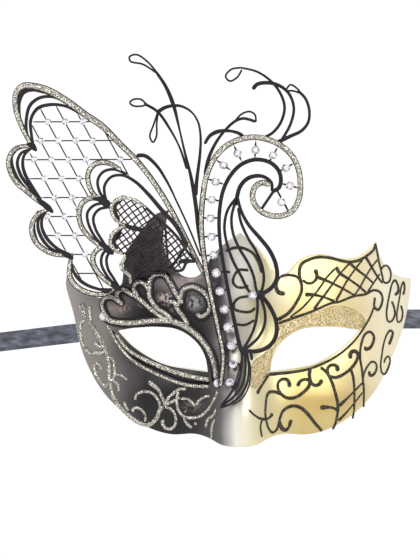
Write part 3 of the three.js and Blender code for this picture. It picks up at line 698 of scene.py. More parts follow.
@dataclass(frozen=True)
class ShellPaint:
    """Satin paint that runs from gunmetal over silver to gold across the mask, with painted highlights and painted
    shade laid over it in soft ovals.
    """

    across: Ramp = (
        (0.000, (176, 171, 170)), (0.050, (160, 155, 153)), (0.125, (136, 130, 128)),
        (0.180, (90, 86, 88)), (0.230, (42, 40, 43)), (0.330, (28, 26, 30)), (0.385, (46, 43, 46)),
        # the near-white stop at 0.490 is partly the silver paint and partly a painted highlight along the nose ridge
        (0.425, (78, 76, 78)), (0.448, (104, 103, 104)), (0.472, (188, 187, 183)), (0.490, (232, 230, 220)),
        (0.510, (228, 223, 202)), (0.560, (220, 210, 168)), (0.680, (208, 190, 128)),
        # the palest stops, at 0.920 and 1.000, are partly the pale gold paint and partly painted light on the side of
        # the temple
        (0.820, (228, 211, 160)), (0.920, (250, 238, 206)), (1.000, (255, 243, 220)),
    )
    reach: float = 90.0
    lean: float = 0.25  # how far the run moves to the gold, for each metre up
    # each soft oval of tint, some paint colour and some painted light and shade: its middle, its half sizes, its colour
    # and how much of it shows
    tints_and_painted_light: tuple[tuple[Drawn, Drawn, tuple[int, int, int], float], ...] = (
        # painted shade: the two ovals on this line darken the lower gold cheek and its lower edge
        ((46, -27), (26, 13), (186, 156, 84), 0.7), ((40, -43), (24, 8), (188, 164, 104), 0.6),
        ((44, 20), (28, 6), (214, 190, 132), 0.4), ((38, 41), (24, 10), (236, 222, 172), 0.6),
        # painted light: the oval at (78, 30) makes the side of the temple paler
        ((20, 34), (9, 14), (246, 240, 222), 0.5), ((78, 30), (10, 14), (255, 250, 226), 0.7),
        # painted light: the oval at (3, 44) brightens the centre peak; painted shade: the oval at (2, 12) greys the
        # shell under the crossing leaves
        ((3, 44), (8, 18), (250, 248, 242), 0.9), ((2, 12), (6, 9), (168, 163, 160), 0.6),
        ((-11, 32), (4, 12), (52, 42, 50), 0.9), ((-8, 16), (4, 10), (52, 42, 50), 0.95),
        ((-5.4, 1), (4.2, 11), (52, 42, 50), 0.98), ((-3, -15), (4.6, 10), (54, 46, 52), 0.95),
        # painted shade: this oval greys the shell under the leaf tail
        ((1, -22), (4, 8), (96, 88, 92), 0.6),
        # painted highlight: the oval at (-40, 54) lightens the horn behind the net, for the shine seen through its
        # holes
        ((-40, 54), (14, 18), (150, 138, 148), 0.9), ((-30, 36), (15, 6), (134, 122, 122), 0.7),
        ((-60, 30), (8, 5), (112, 104, 100), 0.5), ((-45, 3), (21, 14), (6, 5, 6), 1.0),
        ((-22, 0), (9, 17), (7, 6, 7), 0.95), ((-46, 18), (15, 7), (12, 10, 11), 0.95),
        ((-26, 20), (8, 8), (30, 26, 29), 0.8), ((-48, -28), (12, 9), (22, 21, 24), 0.75),
    )
    # painted highlights: pearly glint spots inside the petals and at two places on the dark half
    painted_glints: tuple[tuple[Drawn, Drawn, tuple[int, int, int], float], ...] = (
        ((-38, 26.5), (5, 3.4), (176, 158, 156), 1.5), ((-23, 24.6), (4, 4.4), (150, 148, 150), 1.5),
        ((-63, 21.4), (6, 2.4), (158, 136, 128), 1.5), ((-49.5, 24.4), (3.6, 2.4), (140, 120, 116), 1.5),
        ((-33, 20.5), (3.2, 2), (136, 118, 118), 1.4), ((-14, 36), (3, 10), (120, 108, 120), 1.2),
        ((-24, -29), (6, 3.4), (112, 98, 94), 1.3),
    )

    @staticmethod
    def tinted(bench: NodeBench, colour: bpy.types.NodeSocket, centre: Drawn, reach: Drawn,
               tint: tuple[int, int, int], most: float, pattern: object = 1.0) -> bpy.types.NodeSocket:
        """Returns the colour with a soft oval of tint over it; the ovals hold paint colours as well as painted light
        and shade.

        Args:
            bench: The material's nodes.
            colour: The colour below.
            centre: The oval's drawn middle.
            reach: Its half sizes.
            tint: The colour at its middle.
            most: How much of that colour shows there.
            pattern: A value that thins the tint from place to place.
        """
        parts = []
        for axis, middle, size in zip("XZ", centre, reach):
            far = bench.maths("MULTIPLY_ADD", bench.along(axis), 1 / (size * MM), -middle / size)
            parts.append(bench.maths("MULTIPLY", far, far))
        near = bench.maths("SUBTRACT", 1.0, bench.maths("MULTIPLY", bench.maths("ADD", *parts), 0.5))
        near.node.use_clamp = True
        share = bench.maths("MULTIPLY", bench.maths("MULTIPLY", near, near), most)
        return bench.mix(bench.maths("MULTIPLY", share, pattern), colour, paint(*tint))

    def make(self) -> bpy.types.Material:
        """Makes the paint.

        Returns:
            The material.
        """
        bench = NodeBench("shell_satin_paint")
        cloud = bench.noise(38, 2)
        sway = bench.maths("MULTIPLY_ADD", cloud, 0.03, -0.015)
        share = bench.maths("MULTIPLY_ADD", bench.along("X"), 1 / (2 * self.reach * MM), 0.5)
        lean = bench.maths("MULTIPLY", bench.maths("MAXIMUM", bench.along("Z"), 0.0), self.lean)
        colour = bench.ramp(bench.maths("ADD", bench.maths("ADD", share, sway), lean), self.across)
        for centre, reach, tint, most in self.tints_and_painted_light:
            colour = self.tinted(bench, colour, centre, reach, tint, most)
        # painted highlights: noise splits the glint spots into flecks
        glint_breakup = bench.maths("MULTIPLY_ADD", bench.noise(640, 3), 4.5, -1.8)
        glint_breakup.node.use_clamp = True
        for centre, reach, tint, most in self.painted_glints:
            colour = self.tinted(bench, colour, centre, reach, tint, most, glint_breakup)
        specks = bench.grey(bench.flakes(0.12))
        fine = bench.mix(bench.maths("MULTIPLY", specks, 0.03), colour, paint(250, 248, 240))
        bench.join(fine, bench.shader.inputs["Base Color"])
        bench.join(bench.spread(bench.noise(120, 4), 0.27, 0.41), bench.shader.inputs["Roughness"])
        flaked = bench.tilted(bench.flakes(0.10), 0.05)
        bench.join(bench.bump(bench.noise(420, 2), 0.12, 0.05, flaked), bench.shader.inputs["Normal"])
        bench.set(Metallic=0.55, Specular_IOR_Level=0.2, Coat_Weight=0.05, Coat_Roughness=0.3)
        return bench.material


@dataclass(frozen=True)
class Glitter:
    """Loose metallic flakes set in clear glue."""

    name: str
    flakes: Ramp
    size_mm: float = 0.34
    scatter: float = 0.95
    metal: float = 0.8
    roughness: float = 0.26

    def make(self) -> bpy.types.Material:
        """Makes the glitter.

        Returns:
            The material.
        """
        bench = NodeBench(self.name)
        chance = bench.flakes(self.size_mm)
        bench.join(bench.ramp(bench.grey(chance), self.flakes), bench.shader.inputs["Base Color"])
        bench.join(bench.tilted(chance, self.scatter), bench.shader.inputs["Normal"])
        bench.join(bench.spread(bench.noise(900, 1), self.roughness - 0.08, self.roughness + 0.1),
                   bench.shader.inputs["Roughness"])
        bench.set(Metallic=self.metal)
        return bench.material


@dataclass(frozen=True)
class Lacquer:
    """Dark lacquer on cut metal or net, a little uneven where it pooled."""

    name: str
    dark: tuple[int, int, int]
    light: tuple[int, int, int]
    roughness: float = 0.42
    specular: float = 0.35
    pooling: float = 0.25

    def make(self) -> bpy.types.Material:
        """Makes the lacquer.

        Returns:
            The material.
        """
        bench = NodeBench(self.name)
        bench.join(bench.ramp(bench.noise(260, 4), ((0.35, self.dark), (0.7, self.light))),
                   bench.shader.inputs["Base Color"])
        bench.join(bench.spread(bench.noise(500, 3), self.roughness - 0.1, self.roughness + 0.12),
                   bench.shader.inputs["Roughness"])
        bench.join(bench.bump(bench.noise(1500, 3), self.pooling, 0.06), bench.shader.inputs["Normal"])
        bench.set(Specular_IOR_Level=self.specular)
        return bench.material


@dataclass(frozen=True)
class InnerPlastic:
    """The bare pale plastic of the shell's edge and inside."""

    light: tuple[int, int, int] = (226, 224, 216)
    worn: tuple[int, int, int] = (217, 214, 205)

    def make(self) -> bpy.types.Material:
        """Makes the plastic.

        Returns:
            The material.
        """
        bench = NodeBench("shell_inner_plastic")
        bench.join(bench.ramp(bench.noise(70, 5), ((0.3, self.worn), (0.65, self.light))),
                   bench.shader.inputs["Base Color"])
        bench.join(bench.spread(bench.noise(300, 3), 0.42, 0.6), bench.shader.inputs["Roughness"])
        bench.join(bench.bump(bench.noise(1100, 4), 0.25, 0.08), bench.shader.inputs["Normal"])
        return bench.material


@dataclass(frozen=True)
class Crystal:
    """Foil-backed cut stones, each facet given a random tone from lilac grey to white as a painted reflection."""

    painted_facet_reflections: Ramp = (
        (0.00, (120, 110, 134)), (0.20, (176, 166, 188)), (0.40, (222, 214, 230)),
        (0.65, (246, 244, 250)), (1.00, (255, 255, 255)),
    )

    def make(self) -> bpy.types.Material:
        """Makes the stone.

        Returns:
            The material.
        """
        bench = NodeBench("foiled_crystal")
        # painted reflection: each facet gets a random tone, standing in for the light that it catches
        snapped = bench.add("ShaderNodeVectorMath", operation="SNAP")
        bench.join(bench.add("ShaderNodeNewGeometry").outputs["Normal"], snapped.inputs[0])
        snapped.inputs[1].default_value = (0.04, 0.04, 0.04)
        chance = bench.add("ShaderNodeTexWhiteNoise")
        bench.join(snapped.outputs[0], chance.inputs["Vector"])
        bench.join(bench.ramp(chance.outputs["Value"], self.painted_facet_reflections), bench.shader.inputs["Base Color"])
        bench.join(bench.spread(bench.noise(700, 2), 0.03, 0.10), bench.shader.inputs["Roughness"])
        bench.set(Metallic=0.35, Specular_IOR_Level=0.9, Coat_Weight=0.6, Coat_Roughness=0.03)
        return bench.material


@dataclass(frozen=True)
class CrushedSatin:
    """Woven satin ribbon with soft creases across it, and painted sheen as lighter streak marks along it."""

    dark: tuple[int, int, int] = (44, 47, 56)
    middle: tuple[int, int, int] = (72, 76, 88)
    light: tuple[int, int, int] = (118, 122, 136)

    def make(self) -> bpy.types.Material:
        """Makes the satin.

        Returns:
            The material.
        """
        bench = NodeBench("crushed_satin")
        # painted sheen: lighter streak noise along the ribbon, which with the weave runs the colour from dark to light
        sheen_streaks = bench.noise(150, 4, (1.0, 1.0, 3.2))
        threads = bench.add("ShaderNodeTexWave", bands_direction="Z")
        threads.inputs["Scale"].default_value = 900
        threads.inputs["Distortion"].default_value = 0.6
        bench.join(bench.place, threads.inputs["Vector"])
        picks = bench.add("ShaderNodeTexWave", bands_direction="X")
        picks.inputs["Scale"].default_value = 700
        bench.join(bench.place, picks.inputs["Vector"])
        tone = bench.maths("MULTIPLY_ADD", threads.outputs["Fac"], 0.12, bench.spread(sheen_streaks, 0.0, 0.9))
        bench.join(bench.ramp(tone, ((0.3, self.dark), (0.5, self.middle), (0.72, self.light))),
                   bench.shader.inputs["Base Color"])
        weave = bench.maths("MULTIPLY", threads.outputs["Fac"], picks.outputs["Fac"])
        creased = bench.bump(bench.noise(420, 3, (1.0, 1.0, 0.35)), 0.55, 0.35)
        bench.join(bench.bump(weave, 0.3, 0.05, creased), bench.shader.inputs["Normal"])
        bench.join(bench.spread(sheen_streaks, 0.34, 0.5), bench.shader.inputs["Roughness"])
        bench.set(Sheen_Weight=0.35, Sheen_Roughness=0.4, Specular_IOR_Level=0.55)
        return bench.material


@dataclass(frozen=True)
class Felt:
    """Pressed black felt with a soft nap."""

    dark: tuple[int, int, int] = (22, 22, 25)
    light: tuple[int, int, int] = (52, 51, 56)

    def make(self) -> bpy.types.Material:
        """Makes the felt.

        Returns:
            The material.
        """
        bench = NodeBench("pressed_felt")
        fibres = bench.noise(1600, 6)
        bench.join(bench.ramp(fibres, ((0.35, self.dark), (0.7, self.light))), bench.shader.inputs["Base Color"])
        bench.join(bench.bump(fibres, 0.9, 0.25), bench.shader.inputs["Normal"])
        bench.join(bench.spread(fibres, 0.85, 1.0), bench.shader.inputs["Roughness"])
        bench.set(Sheen_Weight=0.6, Sheen_Roughness=0.7)
        return bench.material


@dataclass(frozen=True)
class StudioWhite:
    """The matt white of the studio floor."""

    light: tuple[int, int, int] = (250, 250, 249)
    shade: tuple[int, int, int] = (244, 244, 243)

    def make(self) -> bpy.types.Material:
        """Makes the floor's finish.

        Returns:
            The material.
        """
        bench = NodeBench("studio_white")
        bench.join(bench.ramp(bench.noise(6, 3), ((0.3, self.shade), (0.7, self.light))),
                   bench.shader.inputs["Base Color"])
        bench.join(bench.spread(bench.noise(40, 2), 0.75, 0.9), bench.shader.inputs["Roughness"])
        return bench.material


class Finish(Enum):
    """The finishes that the mask's pieces take."""

    SHELL = ShellPaint()
    INSIDE = InnerPlastic()
    CHAMPAGNE = Glitter(
        "champagne_glitter",
        ((0.0, (70, 67, 60)), (0.22, (122, 118, 107)), (0.5, (174, 169, 156)), (0.8, (230, 226, 217))),
    )
    BLACK_GLITTER = Glitter(
        "black_glitter",
        ((0.0, (12, 10, 8)), (0.45, (34, 31, 22)), (0.8, (62, 57, 42)), (0.97, (120, 112, 84))),
        metal=0.35, roughness=0.42,
    )
    GOLD_GLITTER = Glitter(
        "gold_glitter",
        ((0.0, (146, 122, 74)), (0.3, (184, 160, 106)), (0.6, (212, 192, 142)), (0.9, (246, 236, 204))),
        size_mm=0.42, metal=0.55, roughness=0.36,
    )
    METAL = Lacquer("black_lacquered_metal", (14, 10, 16), (30, 24, 32))
    BARS = Lacquer("grey_lattice_metal", (44, 41, 48), (72, 68, 76), specular=0.5)
    LINER = Lacquer("glossy_black_liner", (8, 7, 8), (20, 18, 20), roughness=0.3, specular=0.12)
    NET = Lacquer("black_net", (12, 8, 12), (52, 40, 44), roughness=0.5, specular=0.3)
    CRYSTAL = Crystal()
    SATIN = CrushedSatin()
    FELT = Felt()
    STUDIO = StudioWhite()

    def material(self) -> bpy.types.Material:
        """Returns the finish's material, made the first time that it is asked for."""
        if self.name not in MADE_FINISHES:
            MADE_FINISHES[self.name] = self.value.make()
        return MADE_FINISHES[self.name]


MADE_FINISHES: dict[str, bpy.types.Material] = {}


# ---------------------------------------------------------------------------------------------
# The drawing: places on a mask 180 wide and 205 high
# ---------------------------------------------------------------------------------------------

SHELL_EDGE = [
    [
        (-90, 39), (-90.5, 34), (-86.5, 19), (-81.5, -2), (-72, -20.5), (-61, -32), (-46, -41),
        (-35, -44), (-23, -43.7), (-16, -45.7), (-9, -49.4), (0, -50.5), (9, -49.4), (16, -45.7),
        (23, -43.7), (35, -44), (46, -41.5), (61, -32.5), (72, -20), (80, -3.5), (86, 12), (89, 27),
        (90, 37.5),
    ],
    [(90, 37.5), (84, 38.3), (77.5, 42.5), (73.5, 49.5), (71.6, 57)],
    [
        (71.6, 57), (66, 51.5), (60.5, 48.3), (53, 47.8), (46, 49.6), (38.5, 49.6), (31, 46.5),
        (25.5, 40.6), (22.4, 38),
    ],
    [(22.4, 38), (16, 45.8), (8.8, 54.6), (0.5, 61)],
    [
        (0.5, 61), (-8.5, 54.6), (-14.5, 48.5), (-18.7, 41), (-23, 38), (-29, 38.6), (-34, 43.5),
        (-38, 50), (-39.5, 60), (-37.8, 66.5), (-36.4, 73),
    ],
    [
        (-36.4, 73), (-43, 71), (-48, 66), (-56, 55.5), (-59.5, 50), (-60.3, 41), (-61.5, 33.8),
        (-65, 30.5), (-71, 27.2), (-76, 28), (-83, 31.5), (-90, 39),
    ],
]
EYE = [
    [(63, 10), (52, 11.7), (42, 11.9), (33.5, 11), (27, 8), (21, 2.5), (17.6, -4), (16.3, -11.4)],
    [(16.3, -11.4), (26, -10), (38, -7.7), (47, -3.6), (55.5, 2.2), (63, 10)],
]
LID_LINES = [
    Stroke([
        (-71, 17.5), (-66, 15), (-57, 14), (-43, 15.3), (-34, 14.8), (-27, 11.8), (-20, 6),
        (-15, -1), (-12.5, -8), (-11.5, -15),
    ], 2.0),
    Stroke([(-67.5, 16), (-70, 20), (-71, 24), (-69.5, 27), (-66, 27.5), (-63, 25.8), (-60, 23.5)], LINE),
    Stroke([(-61.5, 24), (-63.3, 28), (-61.8, 31), (-59, 31), (-55.5, 28.5)], LINE),
    Stroke([(-57, 29.5), (-53, 27.5), (-47, 22.5), (-41, 17.8), (-36, 15.3)], LINE),
    Stroke([(-52, 27.5), (-54.5, 32), (-52.5, 35.2), (-49.3, 34.6), (-46.5, 31)], LINE),
    Stroke([(-46.3, 33), (-46.4, 28), (-43, 22.5), (-38, 18.8), (-34.5, 15.5)], LINE),
    Stroke([(-46.4, 31), (-46, 36), (-43, 39.2), (-39, 39), (-36, 35.5), (-32.5, 29), (-29, 24)], LINE),
    Stroke([(-36.5, 25), (-33.5, 24.8), (-32, 21.5), (-29, 17.5), (-26, 12.5)], LINE),
    Stroke([
        (-32.5, 21.8), (-30.4, 26.5), (-29, 31), (-24.5, 33), (-19.5, 31), (-16, 27), (-15, 23),
        (-16.5, 19), (-19.5, 17.3), (-22, 19.2),
    ], LINE),
]
WING_BAND = [
    [
        (-107.5, 105.5), (-111.5, 113), (-115, 121), (-116.6, 128), (-116, 134.5), (-112.5, 137.7),
        (-107, 137.6), (-100, 135.6), (-90, 130), (-80, 122.7), (-71, 116.5), (-62, 107.5),
        (-53, 98.5), (-44, 87), (-35, 72.5), (-27, 57), (-18.5, 40),
    ],
    [
        (-106, 105.3), (-112, 106.3), (-117, 104.5), (-120, 99.5), (-119.5, 94), (-116, 87.5),
        (-111, 83), (-105, 78), (-98.5, 73.5),
    ],
    [
        (-97.5, 73.5), (-103, 71.7), (-107, 67.5), (-108, 62), (-106, 56.5), (-101, 52),
        (-95, 49.7), (-87, 49.3),
    ],
    [(-86.8, 50.5), (-88, 44), (-88, 38.5), (-84.5, 33), (-78, 29.7), (-70, 29), (-64, 32)],
]
WING_ARCS = [
    [
        (-88, 127.8), (-97, 132), (-104, 131.5), (-109, 127.5), (-110.9, 120), (-110.6, 113),
        (-108, 106),
    ],
    [
        (-82, 122.8), (-90, 127), (-98, 128), (-105, 126), (-108.6, 120), (-108.2, 112),
        (-107, 105.5),
    ],
    [(-108, 105), (-113.5, 102.7), (-115.6, 98), (-114, 91.5), (-109.5, 85), (-103.5, 78)],
    [(-108, 105.6), (-112, 101.5), (-112.8, 97), (-111.5, 91.5), (-108, 85.5), (-103, 78)],
    [(-101, 72.5), (-104.2, 68.5), (-104.8, 64), (-102.6, 58), (-98.5, 53.2), (-92, 50)],
    [(-100, 73), (-102.4, 69), (-102.8, 64.5), (-100.5, 58.8), (-95.5, 53.5), (-89, 50)],
    [(-87.4, 48.5), (-86.8, 42.5), (-84, 37.5), (-79, 33.7), (-73, 31.6), (-68, 30.3)],
]
WING_JOINTS = [(-107.3, 107.3), (-100.5, 74.5), (-89.5, 49.7), (-68.5, 30.5)]
WING_FIELD = [
    [
        (-81, 121.5), (-90, 126.6), (-98, 127.6), (-104.7, 125.6), (-108.3, 120), (-107.8, 112),
        (-107, 105.5), (-112, 101), (-112.5, 95), (-109, 87), (-103, 79), (-98.5, 74), (-102, 69),
        (-102.6, 64), (-100, 58), (-94, 52.5), (-87.5, 49.5), (-86.8, 42.5), (-84, 37.5),
        (-79, 33.7), (-70, 31),
    ],
    [
        (-70, 31), (-74, 40), (-77, 47), (-75, 52), (-77, 57), (-83, 64), (-85, 71), (-82, 79),
        (-79, 86), (-79.5, 93), (-76, 98.5), (-68, 98), (-59.5, 93), (-57, 90), (-50.5, 96),
    ],
    [(-50.5, 96), (-62, 107.5), (-71, 116.5), (-81, 121.5)],
]
MIDDLE_LINES = [
    Stroke([(-61, 93.5), (-68, 97.3), (-74.5, 97), (-78.3, 92.5), (-78.3, 87), (-75.5, 81), (-69, 76.5)], BOLD),
    Stroke([(-58, 91.5), (-65, 94), (-70.5, 92.8), (-73.4, 88.5), (-72.5, 82.5), (-68, 76)], LINE),
    Stroke([
        (-67.5, 74), (-69.8, 81), (-69.7, 86), (-66, 90.3), (-60, 90.8), (-54, 87.7), (-47, 81),
        (-40, 72.8), (-33, 65), (-27, 54.5),
    ], (LINE, LINE, BOLD, BOLD)),
    Stroke([(-69, 77.5), (-77, 79), (-81.5, 76.5), (-83.2, 71), (-82, 64.5), (-77.5, 58.5), (-70, 52.5)], BOLD),
    Stroke([(-68, 76.5), (-75, 75.5), (-78.8, 71.5), (-78.4, 66), (-75, 59), (-69.5, 53)], LINE),
    Stroke([(-67.5, 74.5), (-73, 73), (-75.7, 69), (-74.6, 63), (-71.5, 57.5), (-68, 52.5)], LINE),
    Stroke([(-66, 52.5), (-72.5, 52.8), (-75.8, 49), (-75.3, 44), (-72, 39), (-67.5, 34.8), (-62.5, 32)], BOLD),
    Stroke([(-68, 53), (-71, 49.5), (-71.6, 45), (-69.5, 40), (-66.5, 36), (-63, 32.5)], LINE),
    Stroke([(-66.5, 52.5), (-68.8, 47.5), (-68, 42), (-65, 37), (-62, 32)], LINE),
    Stroke([(-67, 76), (-65.5, 70), (-62, 66), (-62, 60), (-66, 56), (-68, 52)], LINE),
    Stroke([(-62, 32.5), (-55, 37), (-48, 39.7), (-38, 40.8), (-27, 54.5)], LINE),
]
NET_EDGE = [
    [
        (-59, 65), (-64, 67.5), (-66.3, 72), (-65, 76.7), (-61, 79.6), (-55, 78.6), (-49, 74.6),
        (-44, 70), (-37, 64), (-31, 57.5), (-27, 51.5), (-22.5, 46),
    ],
    [(-22.5, 46), (-27, 45.5), (-29.5, 41.5), (-35, 41.5), (-43, 42.6), (-51, 40.8), (-55.5, 36)],
    [(-55.5, 36), (-58, 39.5), (-61.3, 43), (-59, 47.5), (-58.5, 50)],
    [(-58.5, 50), (-63, 50.8), (-66.8, 54), (-66.5, 59), (-63, 63), (-59, 65)],
]
NECK_BAND = [
    (-9.6, -19), (-8.3, -3.6), (-10.9, 11), (-14.5, 28), (-18.7, 52), (-19.7, 66.5), (-18.7, 80.6),
    (-16.9, 90.5), (-13, 99.3), (-6.8, 106), (1, 109.7), (10, 110.5), (20, 107.4), (27, 101.7),
    (30.7, 94.6), (31.9, 87), (31.3, 79), (28, 72.6), (22.5, 69.8), (16.5, 69.9), (11.5, 72),
    (8, 76), (7, 80.6), (8.5, 85), (12.2, 87), (16.5, 85.8),
]
NECK_LINE = [
    (1, -0.5), (-0.5, 5.7), (-3.1, 18.2), (-5.7, 31.2), (-9.4, 52.5), (-10.4, 64.5), (-9.9, 74.6),
    (-8.3, 82.7), (-4.6, 90.5), (0.8, 96.2), (7, 98.8), (12, 98.8), (17, 97), (20.6, 93.2),
    (21.8, 88.4), (20.6, 84.2), (17, 82.2),
]
NECK_CRESCENT = [(17.2, 82.2), (16.8, 87), (13, 90), (8.8, 90.5), (4.2, 89), (0.5, 84.8), (-1, 79.6), (-1.6, 75)]
SPINE = [
    (22, 77), (26.6, 87), (22.5, 97.5), (12.5, 103.5), (2, 103.4), (-7, 97.5), (-12.5, 86.5),
    (-14.8, 72), (-14, 56), (-11.3, 37), (-7.5, 20), (-4, 2), (-3, -7), (-4.7, -16.6),
]
LEAF_LINES = [
    Stroke([(-1.6, 79), (-6, 72.5), (-7.6, 64), (-6.2, 55), (-3, 46), (1, 38.5), (4.5, 31.5), (7, 28.4)], LINE),
    Stroke([(-2, 77), (-3.9, 69), (-3.2, 61), (0, 53), (4.5, 45.5), (7.5, 38.5), (8.8, 32), (10, 28)], LINE),
    Stroke([(-0.5, 74), (1, 66.5), (4.5, 58.5), (9, 51), (12, 43.5), (12.9, 37), (11.5, 29)], LINE),
    Stroke([
        (-1, 80), (1.2, 72), (5, 65), (11, 58), (16, 51.5), (19.2, 44), (19.6, 37), (16.5, 32),
        (11, 28.6),
    ], (LINE, BOLD, BOLD)),
    Stroke([(9.5, 28), (9.5, 20), (8, 12), (5.5, 6), (2, 0)], LINE),
    Stroke([(11, 28), (13.4, 20), (13.2, 13), (10, 6.5), (3, 0)], LINE),
    Stroke([(11.5, 28.5), (16, 22.5), (19.2, 15), (19.3, 8), (16.5, 2.8), (11, -0.4), (2, -0.8)], BOLD),
    Stroke([(6, -0.5), (6.7, -5.5)], LINE),
    Stroke([(4, -1), (5, -8), (4.9, -13), (3.8, -18.5), (0.5, -24), (-4.5, -28), (-10, -30)], TAIL),
    Stroke([(3, -1), (3.4, -8), (2.9, -14), (1, -19.5), (-3, -24.5), (-9.5, -29.3)], TAIL),
    Stroke([(1.5, -1), (1.4, -8), (0.5, -14), (-1.4, -18.5), (-5, -23.5), (-9.5, -29)], TAIL),
]
TENDRILS = {
    "tendril_left": [
        Stroke([
            (-42, 143.5), (-48, 150.3), (-53.5, 153.7), (-57, 152.5), (-56.5, 150.2), (-50, 148.6),
            (-42, 143.5),
        ], FINE),
        Stroke([
            (-43, 144.5), (-38, 136.8), (-34, 127), (-31.5, 117), (-28.5, 104), (-25, 90),
            (-22.6, 76), (-21, 62), (-18.5, 46),
        ], (LINE, BOLD, FINE, LINE, BOLD, BOLD, LINE)),
        Stroke([
            (-48, 127.6), (-51, 130.3), (-55, 130.3), (-56.8, 128.6), (-55, 127), (-51, 126.8),
            (-48, 127.6),
        ], FINE),
        Stroke([(-49.5, 128.3), (-42.5, 124), (-36, 115), (-31, 105.5), (-27, 94)], (LINE, LINE, FINE, LINE)),
        Stroke([
            (-42, 124.5), (-44.5, 117), (-46.4, 111), (-44.7, 108), (-43, 111), (-42.8, 118),
            (-42, 124.5),
        ], FINE),
        Stroke([
            (-43, 123.3), (-38, 126.3), (-31, 127), (-25, 124), (-21.3, 118.5), (-20, 111),
            (-20.3, 102), (-22, 88), (-22.6, 80),
        ], (BOLD, FINE, LINE, BOLD)),
        Stroke([(-34, 80.5), (-29.5, 71), (-25, 61), (-20, 48.5)], FINE),
        Stroke([(-53.5, 101), (-49, 101), (-43, 96), (-38, 88.5), (-33.4, 79.5)], (BOLD, FINE)),
    ],
    "tendril_middle": [
        Stroke([
            (-18, 107), (-15.5, 111), (-13, 112.8), (-9.5, 113.9), (-3.5, 113.7), (1, 112),
            (3, 109),
        ], (LINE, BOLD, LINE, BOLD)),
        Stroke([
            (-17.6, 91), (-16, 99), (-12.5, 107), (-7.5, 114), (-2, 119), (2, 120.4), (5.5, 119.8),
            (8.7, 118.6),
        ], (BOLD, LINE, LINE)),
        Stroke([(-2, 119.3), (1.5, 122.8), (5.5, 124), (8.3, 122.3), (8.9, 118.4)], FINE),
    ],
    "tendril_right": [
        Stroke([(1.5, 146.9), (-4, 146), (-7, 142.3), (-4.8, 139.9), (-1, 141.8), (1.6, 146)], FINE),
        Stroke([
            (0.5, 147), (9.5, 144.7), (17, 139.5), (22, 132.5), (23.7, 126), (21.8, 118.5),
            (17.5, 113), (12, 110),
        ], (FINE, LINE, LINE)),
        Stroke([
            (7, 135.5), (9.5, 138.2), (15, 139), (21, 137.5), (26, 133.3), (28.5, 126),
            (26.8, 117.5), (20.5, 106.5),
        ], (BOLD, LINE, LINE)),
        Stroke([(24.5, 135.5), (26.8, 138), (30.2, 136), (31.8, 133.8), (28, 134.8), (24.8, 134.8)], FINE),
        Stroke([(30.5, 135), (34.4, 131), (36.5, 125), (36, 118.5), (32.5, 114), (27, 111.3), (20, 108)], (LINE, LINE, BOLD)),
    ],
}
